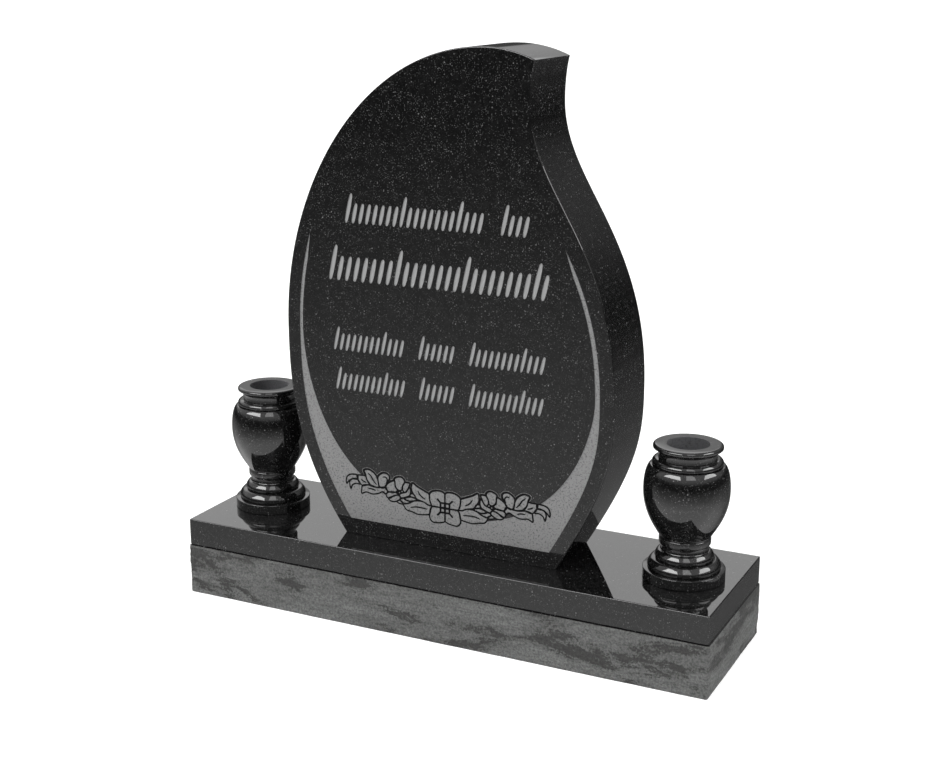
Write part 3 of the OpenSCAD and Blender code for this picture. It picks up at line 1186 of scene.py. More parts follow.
class FrontPlate:
    """The tablet's front face: a flat sheet cut to several depths along closed loops."""

    def __init__(self) -> None:
        """Start with no loops."""
        self.loops: list[Loop] = []
        self.boxes: list[tuple[float, float, float, float]] = []
        self.marks: list[tuple[Mark, int]] = []
        self.shapes = 0

    def new_shape(self) -> int:
        """Give a number to the next petal or leaf."""
        self.shapes += 1
        return self.shapes

    def add(self, loop: Loop, mark: Mark, shape: int = 0) -> None:
        """Add one anticlockwise loop.

        Args:
            loop: Its points, as (across, up).
            mark: What it stands for.
            shape: The petal that it belongs to, if any.
        """
        across = [p[0] for p in loop]
        up = [p[1] for p in loop]
        self.loops.append(loop)
        self.boxes.append((min(across), max(across), min(up), max(up)))
        self.marks.append((mark, shape))

    def cut_at(self, x: float, y: float) -> Cut:
        """Choose the depth at a place from the loops that it lies in.

        Args:
            x, y: The place.

        Returns:
            The cut that its surface belongs to.
        """
        found: dict[Mark, set[int]] = {}
        for loop, box, (mark, shape) in zip(self.loops, self.boxes, self.marks):
            if box[0] < x < box[1] and box[2] < y < box[3] and turns_round(loop, x, y) > 0:
                found.setdefault(mark, set()).add(shape)
        petals = found.get(Mark.PETAL, set())
        if Mark.VEIN in found or found.get(Mark.LINE, set()) - petals:
            return Cut.LINE
        if petals:
            return Cut.PETAL
        if Mark.PANEL in found:
            return Cut.PANEL
        if Mark.RIM in found and Mark.GAP not in found:
            return Cut.PETAL
        if Mark.LETTER in found:
            return Cut.LETTER
        return Cut.POLISHED

    def build(self) -> tuple[list[Place], list[Face], list[Cut]]:
        """Cut the sheet.

        Returns:
            The points as (across, depth, up), the faces, and the cut that each face belongs to.
        """
        flat, triangles = filled(self.loops)
        middles = [(flat[a] + flat[b] + flat[c]) / 3 for a, b, c in triangles]
        cuts = [self.cut_at(m.x, m.y) for m in middles]
        made: dict[tuple[int, Cut], int] = {}
        points: list[Place] = []

        def corner(vertex: int, cut: Cut) -> int:
            """Give the number of a vertex at one depth, made when it is first asked for."""
            if (vertex, cut) not in made:
                made[(vertex, cut)] = len(points)
                points.append((flat[vertex].x, cut.value, flat[vertex].y))
            return made[(vertex, cut)]

        faces: list[Face] = []
        kinds: list[Cut] = []
        side_of = {}
        for triangle, cut in zip(triangles, cuts):
            faces.append(tuple(corner(v, cut) for v in triangle))
            kinds.append(cut)
            for u, v in zip(triangle, triangle[1:] + triangle[:1]):
                side_of[(u, v)] = cut
        for (u, v), cut in side_of.items():
            other = side_of.get((v, u))
            if other is not None and cut.value < other.value:
                faces.append((corner(u, cut), corner(u, other), corner(v, other), corner(v, cut)))
                kinds.append(other)
        return points, faces, kinds


@dataclass
class Tablet:
    """The upright slab: polished all over, with the carving on its front.

    Attributes:
        finishes: Every finish on the memorial.
        arris, arris_steps: The radius and the steps of the rounded edges.
        crease_deg: Edges that turn by more than this stay sharp.
    """

    finishes: Finishes
    arris: float = 2.2
    arris_steps: int = 5
    crease_deg: float = 32.0

    def front_plate(self, outline: TabletOutline, rim: Loop) -> FrontPlate:
        """Mark out everything that is cut into the front.

        Args:
            outline: The slab's outline, which the frosted panel follows.
            rim: The edge of the flat front, inside the arris.

        Returns:
            The front, ready to be cut.
        """
        plate = FrontPlate()
        plate.add(rim, Mark.EDGE)
        plate.add(FrostedPanel(outline).loop(), Mark.PANEL)
        Spray().mark(plate)
        Inscription().mark(plate)
        return plate

    def edge_rings(self, loop: Loop, front: float, back: float) -> list[list[Place]]:
        """Give the rings of points round the slab, from the front's rim to the back's.

        Args:
            loop: The slab's outline.
            front, back: The depths of its two faces.

        Returns:
            The rings, which round both arrises.
        """
        rings = []
        for near, sign in ((front, 1), (back, -1)):
            turn = []
            for inset, depth in arris_turn(self.arris, self.arris_steps):
                turn.append([(x, near + sign * depth, z) for x, z in grown(loop, -inset)])
            rings += turn if sign > 0 else turn[::-1]
        return rings

    def build(self) -> bpy.types.Object:
        """Make the tablet's mesh and dress it.

        Returns:
            The tablet, in its place.
        """
        low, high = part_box("tablet")
        outline = TabletOutline(-low.x / MM, high.x / MM, (high.z - low.z) / MM)
        loop = outline.loop()
        rim = grown(loop, -self.arris)
        plate = self.front_plate(outline, rim)
        points, faces, cuts = plate.build()
        LOG.info("front plate: %d loops, %d faces", len(plate.loops), len(faces))
        front, back, foot = low.y / MM, high.y / MM, low.z / MM
        solid = [(x, front + y, z) for x, y, z in points]
        rings = self.edge_rings(loop, front, back)
        faces += ring_walls(len(solid), len(rings), len(loop))
        solid += [place for ring in rings for place in ring]
        flat, triangles = filled([rim])
        faces += [tuple(len(solid) + v for v in reversed(triangle)) for triangle in triangles]
        solid += [(p.x, back, p.y) for p in flat]
        finish_at = {
            Cut.POLISHED: self.finishes.polished,
            Cut.PANEL: self.finishes.frosted,
            Cut.PETAL: self.finishes.frosted,
            Cut.LETTER: self.finishes.lettering,
            Cut.LINE: self.finishes.cut_line,
        }
        order = list(finish_at)
        cuts += [Cut.POLISHED] * (len(faces) - len(cuts))
        piece = mesh_piece("memorial_tablet", [(x * MM, y * MM, (z + foot) * MM) for x, y, z in solid],
                           faces, list(finish_at.values()), [order.index(cut) for cut in cuts])
        shade(piece, self.crease_deg, True)
        return piece


# ---------------------------------------------------------------- base


@dataclass(frozen=True)
class PitchedFace:
    """The hollows that the pitching chisel leaves, worked out at any place.

    Attributes:
        broad_mm, scoop_mm, fine_mm: The length and height of each size of hollow.
        lean: How far the hollows rise along the face.
        start: The depth between the hollows, from 0 to 1.
        broad, scoop, fine: How much each size of hollow adds.
        ridge_mid: How far apart two scoops are halfway up the ridge between them.
    """

    broad_mm: Point = (90.0, 42.0)
    scoop_mm: Point = (62.0, 30.0)
    fine_mm: Point = (11.0, 6.0)
    lean: float = 0.35
    start: float = 0.20
    broad: float = 0.30
    scoop: float = 0.34
    fine: float = 0.14
    ridge_mid: float = 0.4

    def hollow(self, x: float, y: float, z: float) -> float:
        """Give how deep the chisel went at a place.

        Args:
            x, y, z: The place, in millimetres.

        Returns:
            The depth, from 0 to 1.
        """
        along = x if abs(y) > abs(x) * 0.25 else y

        def at(size: Point) -> Vector:
            """Give the place in the pattern of one size of hollow."""
            return Vector((x / size[0], y / size[0], (z + self.lean * along) / size[1]))

        broad = noise.fractal(at(self.broad_mm), 0.9, 2.1, 4)
        scoop = noise.voronoi(at(self.scoop_mm), distance_metric="DISTANCE", exponent=2.5)
        ridge = min(scoop[0][1] - scoop[0][0], 1.0) - self.ridge_mid
        fine = noise.fractal(at(self.fine_mm), 0.8, 2.0, 3)
        depth = self.start + self.broad * broad + self.scoop * ridge + self.fine * fine
        return min(max(depth, 0.0), 1.0)


@dataclass
class Base:
    """The block underneath: polished top and margin, and rock-pitched sides.

    Attributes:
        finishes: Every finish on the memorial.
        rock_out: How far the rock stands out past the margin.
        margin_h: The height of the polished margin.
        arris, arris_steps: The radius and the steps of the rounded top edge.
        groove: The depth of the saw cut between the margin and the rock.
        groove_rise, groove_bevel, groove_drop: How far over the rock's top the cut begins, how far
            it slants in, and how far under the rock's top it ends.
        rock_drop: How far the broken face begins under the margin.
        corner_r, corner_steps: The radius and the steps of the upright corners.
        spacing: The distance between points along a side.
        relief: The depth of the deepest hollow.
        edge_relief, edge_in, edge_wave, edge_rows: Near the rock's top and bottom edges: the share
            of the relief that is left, how far the face steps in, how far the edge dips, and how
            many rows this takes.
        rock_rows: How many rows of faces the rock has.
        crease_deg: Edges that turn by more than this stay sharp.
        face: The hollows of the broken face.
    """

    finishes: Finishes
    rock_out: float = 3.0
    margin_h: float = 52.0
    arris: float = 1.8
    arris_steps: int = 5
    groove: float = 1.8
    groove_rise: float = 1.2
    groove_bevel: float = 0.4
    groove_drop: float = 0.6
    rock_drop: float = 1.8
    corner_r: float = 2.4
    corner_steps: int = 4
    spacing: float = 2.6
    relief: float = 5.0
    edge_relief: float = 0.4
    edge_in: float = 0.9
    edge_wave: float = 1.2
    edge_rows: float = 2.0
    rock_rows: int = 38
    crease_deg: float = 50.0
    face: PitchedFace = field(default_factory=PitchedFace)

    def plan(self, half_l: float, half_w: float) -> list[tuple[float, float, float, float]]:
        """Give the points round the block, anticlockwise.

        Args:
            half_l, half_w: Half the block's length and half its width.

        Returns:
            Each point as (x, y, outward x, outward y).
        """
        r = self.corner_r
        points = []
        corners = (
            (half_l, -half_w, -90), (half_l, half_w, 0), (-half_l, half_w, 90), (-half_l, -half_w, 180),
        )
        for k, (cx, cy, start) in enumerate(corners):
            mid = (cx - math.copysign(r, cx), cy - math.copysign(r, cy))
            for step in range(self.corner_steps + 1):
                way = math.radians(start + 90 * step / self.corner_steps)
                points.append((mid[0] + r * math.cos(way), mid[1] + r * math.sin(way),
                               math.cos(way), math.sin(way)))
            nx, ny = corners[(k + 1) % 4][:2]
            side = (nx - cx, ny - cy)
            length = math.hypot(*side)
            unit = (side[0] / length, side[1] / length)
            steps = round((length - 2 * r) / self.spacing)
            for step in range(1, steps):
                along = r + (length - 2 * r) * step / steps
                points.append((cx + unit[0] * along, cy + unit[1] * along, unit[1], -unit[0]))
        return points

    def smooth_rings(self, top: float) -> list[Point]:
        """Give the polished rings, from the arris down to the groove over the rock.

        Args:
            top: The height of the base's top.

        Returns:
            Each ring as (how far out from the plan, height).
        """
        rock_top = top - self.margin_h
        turn = arris_turn(self.arris, self.arris_steps)
        return [(-inset, top - drop) for inset, drop in turn] + [
            (0.0, rock_top + self.groove_rise),
            (-self.groove, rock_top + self.groove_rise - self.groove_bevel),
            (-self.groove, rock_top - self.groove_drop),
        ]

    def rock_ring(self, plan: Sequence[tuple[float, float, float, float]], row: int,
                  rock_top: float) -> tuple[list[Place], list[float]]:
        """Give one ring of the broken face.

        Args:
            plan: The points round the block.
            row: The ring's number, counted down from 0.
            rock_top: The height of the first ring.

        Returns:
            The ring's points, and how hollow the face is at each.
        """
        share = row / self.rock_rows
        z = rock_top * (1 - share)
        ease = min(min(share, 1 - share) * self.rock_rows / self.edge_rows, 1.0)
        wave = 0.0 if row == self.rock_rows else self.edge_wave * (1 - ease)
        depth = self.relief * (self.edge_relief + (1 - self.edge_relief) * ease)
        points, hollows = [], []
        for x, y, nx, ny in plan:
            hollow = self.face.hollow(x, y, z)
            out = self.rock_out - depth * hollow - self.edge_in * (1 - ease)
            points.append((x + nx * out, y + ny * out, z - wave * hollow))
            hollows.append(hollow)
        return points, hollows

    def build(self) -> bpy.types.Object:
        """Make the base's mesh and dress it.

        Returns:
            The base, in its place.
        """
        _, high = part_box("base")
        top = high.z / MM
        plan = self.plan(high.x / MM - self.rock_out, high.y / MM - self.rock_out)
        count = len(plan)
        smooth = self.smooth_rings(top)
        solid = [(x + nx * out, y + ny * out, z) for out, z in smooth for x, y, nx, ny in plan]
        hollows = [0.0] * len(solid)
        for row in range(self.rock_rows + 1):
            points, deep = self.rock_ring(plan, row, top - self.margin_h - self.rock_drop)
            solid += points
            hollows += deep
        walls = ring_walls(0, len(smooth) + self.rock_rows + 1, count)
        underside = tuple(len(solid) - count + i for i in reversed(range(count)))
        faces = [tuple(range(count)), *walls, underside]
        polished = 1 + len(smooth) * count
        piece = mesh_piece("memorial_base", [(x * MM, y * MM, z * MM) for x, y, z in solid], faces,
                           [self.finishes.polished, self.finishes.rock],
                           [0] * polished + [1] * (len(faces) - polished))
        # The depth layer darkens the rock's smudges in the hollows: painted shade.
        layer = piece.data.attributes.new(RockPitchedGranite().depth_layer, "FLOAT", "POINT")
        layer.data.foreach_set("value", hollows[:len(piece.data.vertices)])
        shade(piece, self.crease_deg, True)
        return piece


# ---------------------------------------------------------------- vases


@dataclass
class Vase:
    """A turned vase, drilled from the top for a flower insert.

    The sizes are those of the turner's template, from the foot upwards. A name's ending says what it
    is: r is a radius, h a height, and in and out are steps towards and away from the axis. A pull is
    how far a curve's handle reaches, as (across, up), or up only, and the neck ring and the lip are
    (how far out, how high) as well.

    Attributes:
        member_rise: The share of a member's height that lies over its widest place.
        ovolo_knee: Where the curve over a member bends most, as shares of the way across and up.
        waist_ring_round: The heights of the waist ring's lower and upper rounding.
        quirk: The small step between two members.
        arris_guard: How far the foot's straight side keeps clear of its rounded edges.
        bore_arris, bore_foot: The rounding at the bore's mouth and at its floor.
        turns: How many faces go round the vase.
        crease_deg: Edges that turn by more than this stay sharp.
    """

    finishes: Finishes
    node: str
    piece_name: str
    foot_r: float = 74.0
    foot_h: float = 19.0
    foot_ledge_h: float = 1.0
    cushion_h: float = 17.0
    cushion_in: float = 10.0
    cushion_out: float = 2.0
    cushion_top_in: float = 19.0
    step_h: float = 1.0
    torus_h: float = 15.0
    torus_in: float = 21.0
    member_rise: float = 0.75
    ovolo_knee: Point = (0.47, 0.80)
    scotia_h: float = 12.0
    waist_r: float = 42.0
    waist_ring_h: float = 13.0
    waist_ring_out: float = 4.5
    waist_ring_round: Point = (3.0, 2.0)
    bowl_toe_h: float = 3.0
    bowl_h: float = 88.0
    belly_r: float = 76.8
    toe_pull: Point = (16.5, 25.0)
    belly_low_pull: float = 36.0
    belly_high_pull: float = 24.0
    shoulder_h: float = 46.0
    shoulder_pull: Point = (7.0, 4.0)
    neck_ring: Point = (13.0, 11.0)
    neck_groove_h: float = 4.0
    collar_wall: float = 14.0
    collar_h: float = 14.0
    lip: Point = (10.0, 8.0)
    lip_round: float = 6.0
    bore_r: float = 38.0
    bore_arris: float = 0.8
    bore_foot: float = 2.0
    stone_under_bore: float = 24.0
    quirk: float = 2.0
    foot_arris: float = 1.2
    arris_guard: float = 0.3
    turns: int = 176
    crease_deg: float = 26.0

    def __post_init__(self) -> None:
        """Work out the heights of the turned members."""
        self.cushion_foot_z = self.foot_h + self.foot_ledge_h
        self.cushion_z = self.cushion_foot_z + self.cushion_h
        self.torus_z = self.cushion_z + self.step_h
        self.scotia_z = self.torus_z + self.torus_h
        self.waist_z = self.scotia_z + self.scotia_h
        self.bowl_z = self.waist_z + self.waist_ring_h
        self.belly_z = self.bowl_z + self.bowl_h
        self.shoulder_z = self.belly_z + self.shoulder_h
        self.neck_z = self.shoulder_z + self.neck_ring[1]
        self.collar_z = self.neck_z + self.neck_groove_h
        self.lip_z = self.collar_z + self.collar_h
        self.top_z = self.lip_z + self.lip[1]

    def quarter(self, a: Point, b: Point, flat: bool = False, steps: int = 10) -> Loop:
        """Give a quarter of an ellipse from a to b, leaving a upwards, or sideways if flat.

        Args:
            a, b: The two ends.
            flat: Whether it leaves a sideways.
            steps: How many points to give.

        Returns:
            The points, without b.
        """
        run = []
        for i in range(steps):
            turn = math.radians(90 * i / steps)
            across, rise = b[0] - a[0], b[1] - a[1]
            if flat:
                run.append((a[0] + across * math.sin(turn), a[1] + rise * (1 - math.cos(turn))))
            else:
                run.append((a[0] + across * (1 - math.cos(turn)), a[1] + rise * math.sin(turn)))
        return run

    def ovolo(self, a: Point, b: Point) -> Loop:
        """Give the swelling of a moulding from its side a to its top b, flatter than an ellipse.

        Args:
            a, b: The two ends.

        Returns:
            The points, without b.
        """
        across, rise = b[0] - a[0], b[1] - a[1]

        def at(out: float, up: float) -> Point:
            """Give the place at a share of the way across and up."""
            return (a[0] + out * across, a[1] + up * rise)

        out, up = self.ovolo_knee
        knee = at(out, up)
        return (
            cubic(a, at(0.0, 0.33), at(out - 0.235, up - 0.24), knee, 16)
            + cubic(knee, at(out + 0.175, up + 0.18), at(0.86, 1.0), b, 8)
        )

    def foot(self) -> Loop:
        """Give the foot, its ledge, the cushion, the torus and the scotia, up to the waist ring.

        Returns:
            The profile's points, as (radius, height).
        """
        q, edge = self.quirk, self.foot_arris
        cushion_r = self.foot_r - self.cushion_in
        cushion_side = (cushion_r + self.cushion_out, self.cushion_z - self.member_rise * self.cushion_h)
        cushion_top = (self.foot_r - self.cushion_top_in, self.cushion_z)
        torus_r = self.foot_r - self.torus_in
        torus_side = (torus_r, self.scotia_z - self.member_rise * self.torus_h)
        torus_top = (self.waist_r + q, self.scotia_z)
        waist = (self.waist_r, self.scotia_z + self.scotia_h / 2)
        guarded = edge + self.arris_guard
        return (
            [(0.0, 0.0), (self.foot_r - edge, 0.0), (self.foot_r, edge), (self.foot_r, guarded)]
            + [(self.foot_r, self.foot_h - guarded)]
            + self.quarter((self.foot_r, self.foot_h - edge), (self.foot_r - edge, self.foot_h), steps=5)
            + [(self.foot_r - edge, self.foot_h)]
            + self.quarter((cushion_r, self.cushion_foot_z), cushion_side, True)
            + self.ovolo(cushion_side, cushion_top)
            + [cushion_top]
            + self.quarter((torus_r - q, self.torus_z), torus_side, True)
            + self.ovolo(torus_side, torus_top)
            + self.quarter(torus_top, waist, True)
            + self.quarter(waist, (self.waist_r + q, self.waist_z))
            + [(self.waist_r + q, self.waist_z)]
        )

    def bowl(self) -> Loop:
        """Give the ring over the waist, the bowl and its shoulder.

        Returns:
            The profile's points, as (radius, height).
        """
        q = self.quirk
        ring_r = self.waist_r + self.waist_ring_out
        low = (ring_r, self.waist_z + self.waist_ring_round[0])
        high = (ring_r, self.bowl_z - self.waist_ring_round[1])
        toe = (ring_r, self.bowl_z + self.bowl_toe_h)
        belly = (self.belly_r, self.belly_z)
        shoulder = (self.bore_r + self.collar_wall + self.neck_ring[0], self.shoulder_z)
        return (
            self.quarter((ring_r - q, self.waist_z), low, True, 6)
            + self.quarter(high, (ring_r - q, self.bowl_z), steps=6)
            + self.quarter((ring_r - q, self.bowl_z), toe, True, 6)
            + cubic(toe, (toe[0] + self.toe_pull[0], toe[1] + self.toe_pull[1]),
                    (belly[0], belly[1] - self.belly_low_pull), belly, 36)
            + cubic(belly, (belly[0], belly[1] + self.belly_high_pull),
                    (shoulder[0] + self.shoulder_pull[0], shoulder[1] - self.shoulder_pull[1]), shoulder, 24)
        )

    def mouth(self) -> Loop:
        """Give the neck ring, the flared collar and the lip.

        Returns:
            The profile's points, as (radius, height).
        """
        q = self.quirk
        collar_r = self.bore_r + self.collar_wall
        ring_r = collar_r + self.neck_ring[0] - q
        ring_mid = self.shoulder_z + self.neck_ring[1] / 3
        lip_r = collar_r + self.lip[0]
        return (
            self.quarter((ring_r - q, self.shoulder_z), (ring_r, ring_mid), True, 6)
            + self.quarter((ring_r, ring_mid), (collar_r + q, self.neck_z))
            + [(collar_r, self.neck_z)]
            + cubic((collar_r, self.collar_z), (collar_r, self.collar_z + self.collar_h / 2),
                    (collar_r + q, self.lip_z - q), (lip_r - q, self.lip_z), 12)
            + self.quarter((lip_r - q, self.lip_z), (lip_r, self.lip_z + q), True, 5)
            + self.quarter((lip_r, self.lip_z + self.lip[1] / 2), (lip_r - self.lip_round, self.top_z))
            + [(lip_r - self.lip_round, self.top_z)]
        )

    def build(self) -> bpy.types.Object:
        """Turn the profile, drill the bore and dress the vase.

        Returns:
            The vase, in its place.
        """
        low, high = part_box(self.node)
        centre = (low + high) / 2
        outside = self.foot() + self.bowl() + self.mouth()
        floor_z = self.bowl_z + self.stone_under_bore
        profile = outside + [
            (self.bore_r + self.bore_arris, self.top_z),
            (self.bore_r, self.top_z - self.bore_arris),
            (self.bore_r, floor_z + self.bore_foot),
            (self.bore_r - self.bore_foot, floor_z),
            (0.0, floor_z),
        ]
        points, faces, finish_of = [], [], []
        for r, z in profile:
            for k in range(self.turns):
                turn = 2 * math.pi * k / self.turns
                points.append((centre.x + r * math.cos(turn) * MM, centre.y + r * math.sin(turn) * MM,
                               low.z + z * MM))
        for row in range(len(profile) - 1):
            a, b = row * self.turns, (row + 1) * self.turns
            for k in range(self.turns):
                j = (k + 1) % self.turns
                if profile[row][0] == 0.0:
                    faces.append((a, b + j, b + k))
                elif profile[row + 1][0] == 0.0:
                    faces.append((a + k, a + j, b))
                else:
                    faces.append((a + k, a + j, b + j, b + k))
                finish_of.append(0 if row < len(outside) else 1)
        piece = mesh_piece(self.piece_name, points, faces,
                           [self.finishes.polished, self.finishes.drilled], finish_of)
        shade(piece, self.crease_deg, False)
        return piece


# ---------------------------------------------------------------- studio


@dataclass(frozen=True)
class Sky:
    """How bright the studio looks in a polished face, as (degrees above the horizon, brightness).

    Attributes:
        front: Towards the front and both ends.
        side: Towards the back right, where the dome paints a darker reflection.
        beside: Towards the back, next to the screen's edge.
        back: Towards the back.
        turns: Where, in degrees round from +X, one side fades to the next.
        brightest: The brightness that counts as full.
    """

    front: tuple[Point, ...] = (
        (-90, 1.5), (-35, 1.6), (-25, 1.2), (-20, 0.82), (-15, 0.54), (-10, 0.27), (-5, 0.05),
        (0, 0.02), (7, 0.1), (13, 0.7), (22, 1.1), (45, 1.2), (90, 0.8),
    )
    side: tuple[Point, ...] = (
        (-90, 0.8), (-40, 0.3), (-30, 0.15), (-25, 0.18), (-19, 0.16), (-12, 0.09), (-5, 0.03),
        (0, 0.01), (5, 0.04), (10, 0.09), (16, 0.17), (28, 0.42), (90, 0.6),
    )
    beside: tuple[Point, ...] = (
        (-90, 1.2), (-35, 0.9), (-25, 0.5), (-15, 0.2), (-4, 0.05), (4, 0.06), (8.4, 0.08),
        (9.4, 0.42), (13, 0.52), (19.8, 0.66), (20.6, 1.5), (24, 1.7), (90, 0.8),
    )
    back: tuple[Point, ...] = (
        (-90, 1.2), (-35, 0.9), (-25, 0.5), (-15, 0.2), (-4, 0.05), (4, 0.06), (8.4, 0.08),
        (9.4, 0.42), (13, 0.52), (17.6, 0.66), (18.6, 1.4), (24, 1.7), (90, 0.8),
    )
    turns: tuple[Point, ...] = ((5, 75), (99, 103), (106, 112), (150, 175))
    brightest: float = 2.0


@dataclass(frozen=True)
class Window:
    """One bright window that only polished faces see, by the directions of its corners.

    Attributes:
        name: The window's name.
        corners: (degrees round from +X, degrees above the horizon) of each corner.
        brightness: How bright it is against the white of the room.
    """

    name: str
    corners: tuple[Point, ...]
    brightness: float


@dataclass(frozen=True)
class Softbox:
    """One square softbox: where it hangs, its side in metres and its power in watts."""

    name: str
    at: Place
    side: float
    watts: float


@dataclass
class Studio:
    """Pale floor, soft lights, what the polish reflects, and the camera.

    Attributes:
        floor_half, sky_r, window_r: Half the floor's side, and the distances of the dome and of the
            windows, in metres.
        sky, windows: What the polish reflects.
        softboxes, light_at: The lights, and the place that they face.
        camera_at, look_at: The camera's place, and the place that it faces, in metres.
        lens_mm, sensor_mm: The camera's focal length and the width of its film.
        clip_end: How far the camera sees, in metres.
    """

    floor_half: float = 60.0
    sky_r: float = 80.0
    window_r: float = 70.0
    sky: Sky = field(default_factory=Sky)
    windows: tuple[Window, ...] = (
        Window("left_window", ((-144, 25), (-90, 25), (-98, 52), (-138, 52)), 13.0),
        Window("right_window", ((-22, 26), (24, 26), (50, 54), (4, 56)), 10.0),
        Window("front_window", ((-74, 28), (-46, 28), (-42, 72), (-78, 72)), 4.2),
    )
    softboxes: tuple[Softbox, ...] = (
        Softbox("left_softbox", (-1.9, -2.6, 3.4), 1.3, 60.0),
        Softbox("right_softbox", (3.4, -0.6, 3.2), 1.3, 40.0),
    )
    light_at: Place = (0.0, 0.0, 0.4)
    camera_at: Place = (1.2250, -2.4580, 1.2133)
    look_at: Place = (0.0200, 0.0, 0.4658)
    lens_mm: float = 58.05
    sensor_mm: float = 36.0
    clip_end: float = 300.0

    def build(self) -> None:
        """Set up the studio."""
        self.floor()
        self.world()
        self.reflected_sky()
        for window in self.windows:
            self.reflected_window(window)
        for softbox in self.softboxes:
            self.soft_light(softbox)
        self.camera()
        bpy.context.scene.view_settings.view_transform = "Standard"

    def floor(self) -> None:
        """Lay a pale seamless floor."""
        material, tree = new_material("pale_studio_floor")
        shader = add_node(tree, "ShaderNodeBsdfPrincipled", {
            "Base Color": linear("#f4f4f4"), "Roughness": 0.9,
            "Emission Color": (1.0, 1.0, 1.0, 1.0), "Emission Strength": 0.35,
        })
        add_node(tree, "ShaderNodeOutputMaterial", {"Surface": shader.outputs[0]})
        half = self.floor_half
        corners = [(-half, -half, 0.0), (half, -half, 0.0), (half, half, 0.0), (-half, half, 0.0)]
        floor = mesh_piece("studio_floor", corners, [(0, 1, 2, 3)], [material], [0])
        floor.visible_glossy = False

    def world(self) -> None:
        """Light the room evenly in white."""
        world = bpy.data.worlds.new("studio_room")
        world.use_nodes = True
        world.node_tree.nodes.clear()
        glow = add_node(world.node_tree, "ShaderNodeBackground", {
            "Color": (1.0, 1.0, 1.0, 1.0), "Strength": 1.0,
        })
        add_node(world.node_tree, "ShaderNodeOutputWorld", {"Surface": glow.outputs[0]})
        bpy.context.scene.world = world

    def brightness(self, tree: bpy.types.NodeTree, height: bpy.types.NodeSocket,
                   stops: tuple[Point, ...]) -> bpy.types.NodeSocket:
        """Turn a height over the horizon into how bright the studio is there.

        Args:
            tree: The dome's node tree.
            height: The height, from 0 straight down to 1 straight up.
            stops: The brightness at some heights, as (degrees, brightness).

        Returns:
            The brightness, as a share of the brightest.
        """
        node = add_node(tree, "ShaderNodeValToRGB", {"Fac": height})
        elements = node.color_ramp.elements
        while len(elements) < len(stops):
            elements.new(0.5)
        for element, (degrees, bright) in zip(elements, stops):
            element.position = (degrees + 90) / 180
            level = bright / self.sky.brightest
            element.color = (level, level, level, 1.0)
        return node.outputs["Color"]

    def reflected_sky(self) -> None:
        """Hang a dome that only reflections see: a dark horizon between a bright floor and top."""
        material, tree = new_material("reflected_sky")
        place = add_node(tree, "ShaderNodeNewGeometry").outputs["Position"]
        unit = add_node(tree, "ShaderNodeVectorMath", {0: place}, operation="NORMALIZE").outputs[0]
        parts = add_node(tree, "ShaderNodeSeparateXYZ", {0: unit}).outputs
        angle = add_node(tree, "ShaderNodeMath", {0: parts["Z"]}, operation="ARCSINE").outputs[0]
        height = add_node(tree, "ShaderNodeMapRange", {
            "Value": angle, "From Min": -math.pi / 2, "From Max": math.pi / 2,
        }).outputs["Result"]
        round_z = add_node(tree, "ShaderNodeMath", {0: parts["Y"], 1: parts["X"]}, operation="ARCTAN2")
        ways = (self.sky.front, self.sky.side, self.sky.beside, self.sky.back)
        front, *others = [self.brightness(tree, height, stops) for stops in ways]
        level = front
        for (start, end), other in zip(self.sky.turns, [*others, front]):
            share = add_node(tree, "ShaderNodeMapRange", {
                "Value": round_z.outputs[0], "From Min": math.radians(start), "From Max": math.radians(end),
            }, interpolation_type="SMOOTHSTEP").outputs["Result"]
            level = add_node(tree, "ShaderNodeMix", {
                "Factor": share, "A": level, "B": other,
            }, data_type="RGBA").outputs[2]
        glow = add_node(tree, "ShaderNodeEmission", {"Color": level, "Strength": self.sky.brightest})
        add_node(tree, "ShaderNodeOutputMaterial", {"Surface": glow.outputs[0]})
        work = bmesh.new()
        bmesh.ops.create_uvsphere(work, u_segments=48, v_segments=24, radius=self.sky_r)
        mesh = bpy.data.meshes.new("reflected_sky")
        work.to_mesh(mesh)
        work.free()
        mesh.materials.append(material)
        dome = bpy.data.objects.new("reflected_sky", mesh)
        bpy.context.scene.collection.objects.link(dome)
        self.only_reflected(dome)

    def reflected_window(self, window: Window) -> None:
        """Hang one window in front of the dome.

        Args:
            window: Its directions and its brightness.
        """
        material, tree = new_material(window.name)
        glow = add_node(tree, "ShaderNodeEmission", {"Strength": window.brightness})
        add_node(tree, "ShaderNodeOutputMaterial", {"Surface": glow.outputs[0]})
        corners = []
        for around, above in window.corners:
            flat = self.window_r * math.cos(math.radians(above))
            corners.append((*polar((0.0, 0.0), flat, around), self.window_r * math.sin(math.radians(above))))
        self.only_reflected(mesh_piece(window.name, corners, [(0, 1, 2, 3)], [material], [0]))

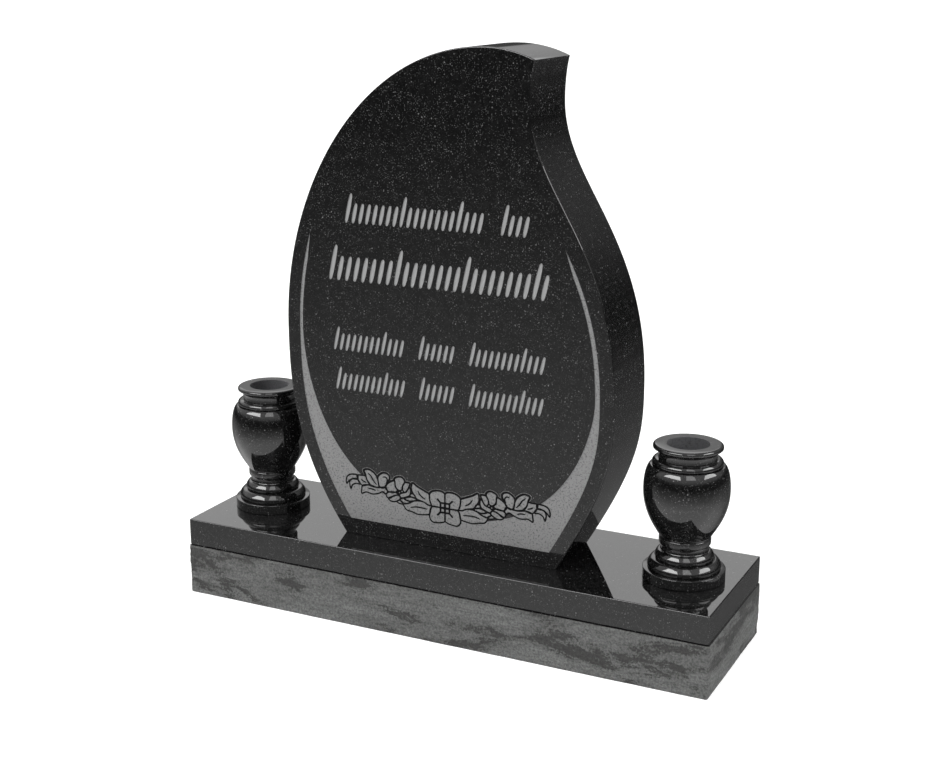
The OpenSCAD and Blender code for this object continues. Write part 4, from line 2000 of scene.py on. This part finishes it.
    def only_reflected(self, piece: bpy.types.Object) -> None:
        """Hide a stage piece from everything but reflections.

        Args:
            piece: The piece, whose first material glows.
        """
        piece.data.materials[0].cycles.emission_sampling = "NONE"
        piece.visible_camera = False
        piece.visible_diffuse = False
        piece.visible_shadow = False
        piece.visible_transmission = False
        piece.visible_volume_scatter = False

    def hang(self, name: str, content: bpy.types.ID, at: Place, towards: Place) -> bpy.types.Object:
        """Hang a light or a camera, turned towards a place.

        Args:
            name: Its name.
            content: The light's or the camera's settings.
            at: Where it hangs.
            towards: The place that it faces.

        Returns:
            The new object.
        """
        holder = bpy.data.objects.new(name, content)
        bpy.context.scene.collection.objects.link(holder)
        holder.location = at
        aim = Vector(towards) - Vector(at)
        holder.rotation_euler = aim.to_track_quat("-Z", "Y").to_euler()
        return holder

    def soft_light(self, softbox: Softbox) -> None:
        """Hang a square softbox that faces the memorial.

        Args:
            softbox: Its place, size and power.
        """
        light = bpy.data.lights.new(softbox.name, "AREA")
        light.shape = "SQUARE"
        light.size = softbox.side
        light.energy = softbox.watts
        self.hang(softbox.name, light, softbox.at, self.light_at).visible_glossy = False

    def camera(self) -> None:
        """Set the camera at the viewing angle."""
        lens = bpy.data.cameras.new("camera")
        lens.lens = self.lens_mm
        lens.sensor_width = self.sensor_mm
        lens.clip_end = self.clip_end
        bpy.context.scene.camera = self.hang("camera", lens, self.camera_at, self.look_at)


# ---------------------------------------------------------------- assembly


def main() -> None:
    """Build every stone, seat it on its CAD node, and set up the studio."""
    logging.basicConfig(level=logging.INFO, format="%(name)s: %(message)s")
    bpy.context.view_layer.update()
    finishes = Finishes()
    stones = {
        "base": Base(finishes),
        "tablet": Tablet(finishes),
        "vase_left": Vase(finishes, "vase_left", "vase_on_the_left"),
        "vase_right": Vase(finishes, "vase_right", "vase_on_the_right"),
    }
    for node, stone in stones.items():
        piece = stone.build()
        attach(piece, "root")
        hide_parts(node)
        LOG.info("%s stands for %s: %d faces", piece.name, node, len(piece.data.polygons))
    Studio().build()


if __name__ == "__main__":
    main()
